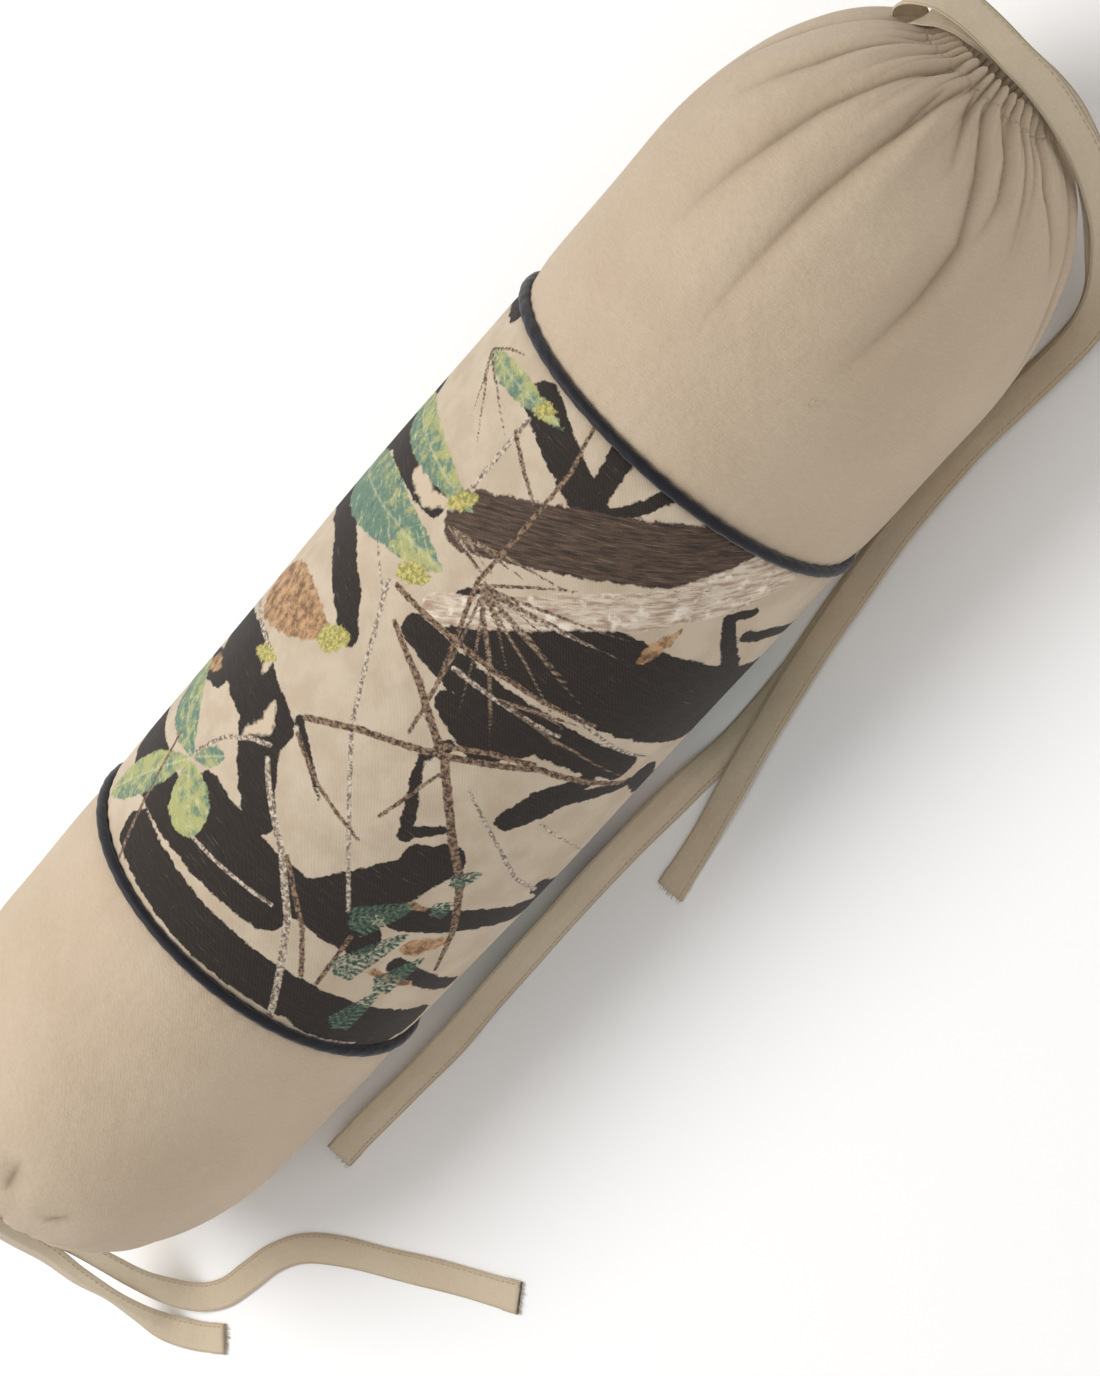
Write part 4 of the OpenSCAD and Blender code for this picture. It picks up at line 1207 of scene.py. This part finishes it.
def calico():
    material, tree, shader, flat = cloth_material("calico", 0.92, 0.1)
    weave = place_group(tree, TWILL_WEAVE, {"Cloth": flat, "Pitch": 1.0})
    tone = place_group(tree, COTTON_TONE, {"Cloth": flat, "Size": 1.15})
    colour = blend_colour(tree, ramp(tree, tone["Tone"], 0.3, 0.7), linear("c9bc9d"), linear("ded3b8"))
    colour = blend_colour(tree, maths(tree, "MULTIPLY", tone["Slub"], 0.6), colour, linear("8f7b58"))
    tree.links.new(colour, shader.inputs["Base Color"])
    height = maths(tree, "MULTIPLY_ADD", noise(tree, flat, 0.08, 4.0), 2.0,
                   maths(tree, "MULTIPLY", weave["Height"], 0.3))
    connect_bump(tree, shader, height, 0.6, 0.8)
    return material


def fibre_filling():
    material, tree, shader, _ = cloth_material("fibre_filling", 0.95, 0.4)
    place = add_node(tree, "ShaderNodeTexCoord").outputs["Object"]
    tangle = noise(tree, place, 120.0, 8.0, 0.75)
    colour = blend_colour(tree, ramp(tree, tangle, 0.3, 0.7), linear("dcd9cf"), linear("f7f5ee"))
    tree.links.new(colour, shader.inputs["Base Color"])
    connect_bump(tree, shader, tangle, 3.0, 0.9)
    return material


# %% [markdown]
# ## The printed twill
# The print is built up as a printer would lay inks: ground, dead timber with its bark, birch, dry leaves,
# green leaves, twigs, needles and ferns, each masked by its own distance. Noise in the masks tears the
# edges, and stretched noise draws bark. The weave shows through all of it.

# %% Printed twill
def turned(tree, flat, degrees, stretch):
    """Cloth places turned and stretched, so that noise draws streaks in one direction."""
    spun = add_node(tree, "ShaderNodeVectorRotate", {"Vector": flat, "Angle": math.radians(degrees)},
                    rotation_type="Z_AXIS")
    return add_node(tree, "ShaderNodeVectorMath", {0: spun.outputs[0], 1: stretch},
                    operation="MULTIPLY").outputs[0]


def ink(tree, flat, key, ragged, grain, soft):
    return place_group(tree, INK_EDGE,
                       {"Distance": stored(tree, key), "Cloth": flat, "Ragged": ragged, "Grain": grain,
                                        "Soft": soft})["Ink"]


def printed_ground(tree, flat):
    blotch = noise(tree, flat, 0.05, 4.0)
    return blend_colour(tree, ramp(tree, blotch, 0.35, 0.65), linear("bfad96"), linear("cbbba5"))


def timber_bark(tree, flat):
    streak = noise(tree, turned(tree, flat, 0, (0.07, 0.95, 1.0)), 1.0, 5.0, 0.7)
    glint = ramp(tree, noise(tree, turned(tree, flat, 3, (0.05, 1.5, 1.0)), 1.0, 4.0, 0.7), 0.6, 0.72)
    patch = ramp(tree, noise(tree, flat, 0.035, 3.0), 0.45, 0.62)
    colour = blend_colour(tree, ramp(tree, streak, 0.45, 0.75), linear("1b1718"), linear("302829"))
    return blend_colour(tree, maths(tree, "MULTIPLY", maths(tree, "MULTIPLY", glint, patch), 0.75), colour,
                        linear("8b7c6f"))


def trunk_bark(tree, flat):
    streak = noise(tree, turned(tree, flat, -32, (0.08, 0.8, 1.0)), 1.0, 5.0, 0.7)
    glint = ramp(tree, noise(tree, turned(tree, flat, -30, (0.06, 1.4, 1.0)), 1.0, 4.0, 0.7), 0.56, 0.7)
    colour = blend_colour(tree, ramp(tree, streak, 0.35, 0.65), linear("2a2221"), linear("5e4a3e"))
    return blend_colour(tree, maths(tree, "MULTIPLY", glint, 0.7), colour, linear("93806f"))


def birch_bark(tree, flat):
    streak = noise(tree, turned(tree, flat, -38, (0.09, 0.5, 1.0)), 1.0, 5.0, 0.65)
    fleck = ramp(tree, noise(tree, turned(tree, flat, -38, (0.3, 0.9, 1.0)), 0.8, 5.0, 0.75), 0.6, 0.66)
    lower = ramp(tree, add_node(tree, "ShaderNodeSeparateXYZ", {0: flat}).outputs[1], 95, 125)
    colour = blend_colour(tree, ramp(tree, streak, 0.35, 0.62), linear("a98f7b"), linear("dccdb9"))
    colour = blend_colour(tree, ramp(tree, noise(tree, flat, 0.12, 4.0), 0.52, 0.7), colour, linear("efe4d4"))
    amount = maths(tree, "MULTIPLY_ADD", lower, 0.75, 0.15)
    return blend_colour(tree, maths(tree, "MULTIPLY", fleck, amount), colour, linear("33292a"))


def leaf_green(tree, flat):
    mottle = noise(tree, flat, 0.14, 6.0, 0.7)
    teal = maths(tree, "ADD", stored(tree, "teal"),
                 maths(tree, "MULTIPLY", maths(tree, "SUBTRACT", mottle, 0.5), 2.2))
    colour = blend_colour(tree, ramp(tree, teal, 0.3, 0.75), linear("a9ab72"), linear("5f7e6e"))
    light = ramp(tree, noise(tree, turned(tree, flat, 25, (0.4, 1.2, 1.0)), 0.35, 6.0, 0.75), 0.52, 0.68)
    colour = blend_colour(tree, maths(tree, "MULTIPLY", light, 0.75), colour, linear("d4cf9f"))
    deep = ramp(tree, noise(tree, turned(tree, flat, -20, (1.0, 0.5, 1.0)), 0.22, 6.0, 0.75), 0.55, 0.68)
    colour = blend_colour(tree, maths(tree, "MULTIPLY", deep, 0.75), colour, linear("2f4b45"))
    rib = ramp(tree, stored(tree, "rib"), 0.2, 0.9, 1.0, 0.0)
    return blend_colour(tree, maths(tree, "MULTIPLY", rib, 0.35), colour, linear("d8d2ad"))


def dry_leaf(tree, flat):
    mottle = noise(tree, flat, 0.16, 6.0, 0.75)
    colour = blend_colour(tree, ramp(tree, mottle, 0.36, 0.62), linear("6e4f38"), linear("c49c74"))
    return blend_colour(tree, ramp(tree, noise(tree, flat, 0.4, 5.0, 0.7), 0.6, 0.72), colour,
                        linear("2f2420"))


def twig_colour(tree, flat, dark, light):
    return blend_colour(tree, ramp(tree, noise(tree, flat, 0.5, 4.0, 0.7), 0.4, 0.62), linear(dark),
                        linear(light))


def printed_twill():
    material, tree, shader, flat = cloth_material("printed_twill", 0.9, 0.08)
    colour = printed_ground(tree, flat)
    layers = (("timber", 1.9, 0.16, 0.35, timber_bark(tree, flat)),
              ("trunk", 2.2, 0.2, 0.5, trunk_bark(tree, flat)),
              ("birch", 1.6, 0.2, 0.5, birch_bark(tree, flat)), ("pale", 2.4, 0.25, 0.8, linear("cbb9a0")),
              ("autumn", 2.6, 0.2, 0.5, dry_leaf(tree, flat)),
              ("pale_twig", 0.7, 0.4, 0.3, twig_colour(tree, flat, "6f5e52", "d6c9b6")),
              ("leaf", 1.8, 0.22, 0.45, leaf_green(tree, flat)),
              ("yellow", 2.8, 0.3, 0.6, twig_colour(tree, flat, "8b8a4e", "cdbf74")),
              ("brown_twig", 0.8, 0.4, 0.3, twig_colour(tree, flat, "3a2b24", "9c8069")),
              ("needle", 0.5, 0.5, 0.22, twig_colour(tree, flat, "4a382e", "a8927c")),
              ("fern", 0.8, 0.5, 0.3, twig_colour(tree, flat, "223c38", "6d8a72")))
    for key, ragged, grain, soft, colour_over in layers:
        colour = blend_colour(tree, ink(tree, flat, key, ragged, grain, soft), colour, colour_over)
    weave = place_group(tree, TWILL_WEAVE, {"Cloth": flat, "Pitch": 0.8})
    tone = place_group(tree, COTTON_TONE, {"Cloth": flat, "Size": 1.0})
    colour = blend_colour(tree, maths(tree, "MULTIPLY", weave["Rib"], 0.12), colour, linear("9a8a74"))
    colour = blend_colour(tree, maths(tree, "MULTIPLY", tone["Slub"], 0.25), colour, linear("8d7c66"))
    tree.links.new(colour, shader.inputs["Base Color"])
    height = maths(tree, "MULTIPLY_ADD", noise(tree, flat, 0.09, 4.0), 1.6,
                   maths(tree, "MULTIPLY", weave["Height"], 0.25))
    connect_bump(tree, shader, height, 0.5, 0.8)
    return material


# %% Give every piece its finish
FINISHES = {"khaki_twill": khaki_twill(), "khaki_tape": khaki_tape(), "navy_piping": navy_piping(),
            "filler_cord": filler_cord(),
            "calico": calico(), "fibre_filling": fibre_filling(), "printed_twill": printed_twill()}
THREAD = sewing_thread()

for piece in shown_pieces():
    finish = THREAD if ("stitching" in piece.name or "thread" in piece.name) else FINISHES[piece["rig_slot"]]
    piece.data.materials.clear()
    piece.data.materials.append(finish)

# %% [markdown]
# ## Floor and light
# The bolster lies on a plain pale floor in soft studio light. Two broad area lights and a bright even
# world keep the shadows open, and the plain view transform keeps the cloth's own colours.

# %% Floor, lights and world
FLOOR_HALF = 9.0
KEY_POWER = 37
FILL_POWER = 4
WORLD_STRENGTH = 0.62


def add_floor():
    mesh = bpy.data.meshes.new("studio_floor")
    half = FLOOR_HALF
    mesh.from_pydata([(-half, -half, 0), (half, -half, 0), (half, half, 0), (-half, half, 0)], [],
                     [(0, 1, 2, 3)])
    floor = bpy.data.objects.new("studio_floor", mesh)
    bpy.context.scene.collection.objects.link(floor)
    material = bpy.data.materials.new("studio_floor")
    material.use_nodes = True
    tree = material.node_tree
    shader = tree.nodes["Principled BSDF"]
    shader.inputs["Roughness"].default_value = 0.9
    shader.inputs["Specular IOR Level"].default_value = 0.1
    place = add_node(tree, "ShaderNodeTexCoord").outputs["Object"]
    tree.links.new(blend_colour(tree, noise(tree, place, 2.0), linear("f4f4f4"), linear("f7f7f7")),
                   shader.inputs["Base Color"])
    mesh.materials.append(material)
    return floor


def add_area_light(name, place, aim, size, power, colour=(1, 1, 1)):
    data = bpy.data.lights.new(name, "AREA")
    data.shape = "DISK"
    data.size = size
    data.energy = power
    data.color = colour
    light = bpy.data.objects.new(name, data)
    light.location = place
    light.rotation_euler = (Vector(aim) - Vector(place)).to_track_quat("-Z", "Y").to_euler()
    bpy.context.scene.collection.objects.link(light)


floor = add_floor()
add_area_light("key_softbox", (-0.9, 1.0, 1.9), (0, 0, 0.1), 1.4, KEY_POWER, (1.0, 0.985, 0.965))
add_area_light("fill_softbox", (1.3, -1.2, 1.6), (0, 0, 0.1), 1.6, FILL_POWER, (1.0, 0.97, 0.95))
world = bpy.data.worlds.new("studio_world")
world.use_nodes = True
world.node_tree.nodes["Background"].inputs["Color"].default_value = (1, 1, 1, 1)
world.node_tree.nodes["Background"].inputs["Strength"].default_value = WORLD_STRENGTH
bpy.context.scene.world = world
bpy.context.scene.view_settings.view_transform = "Standard"
print("stage ready")
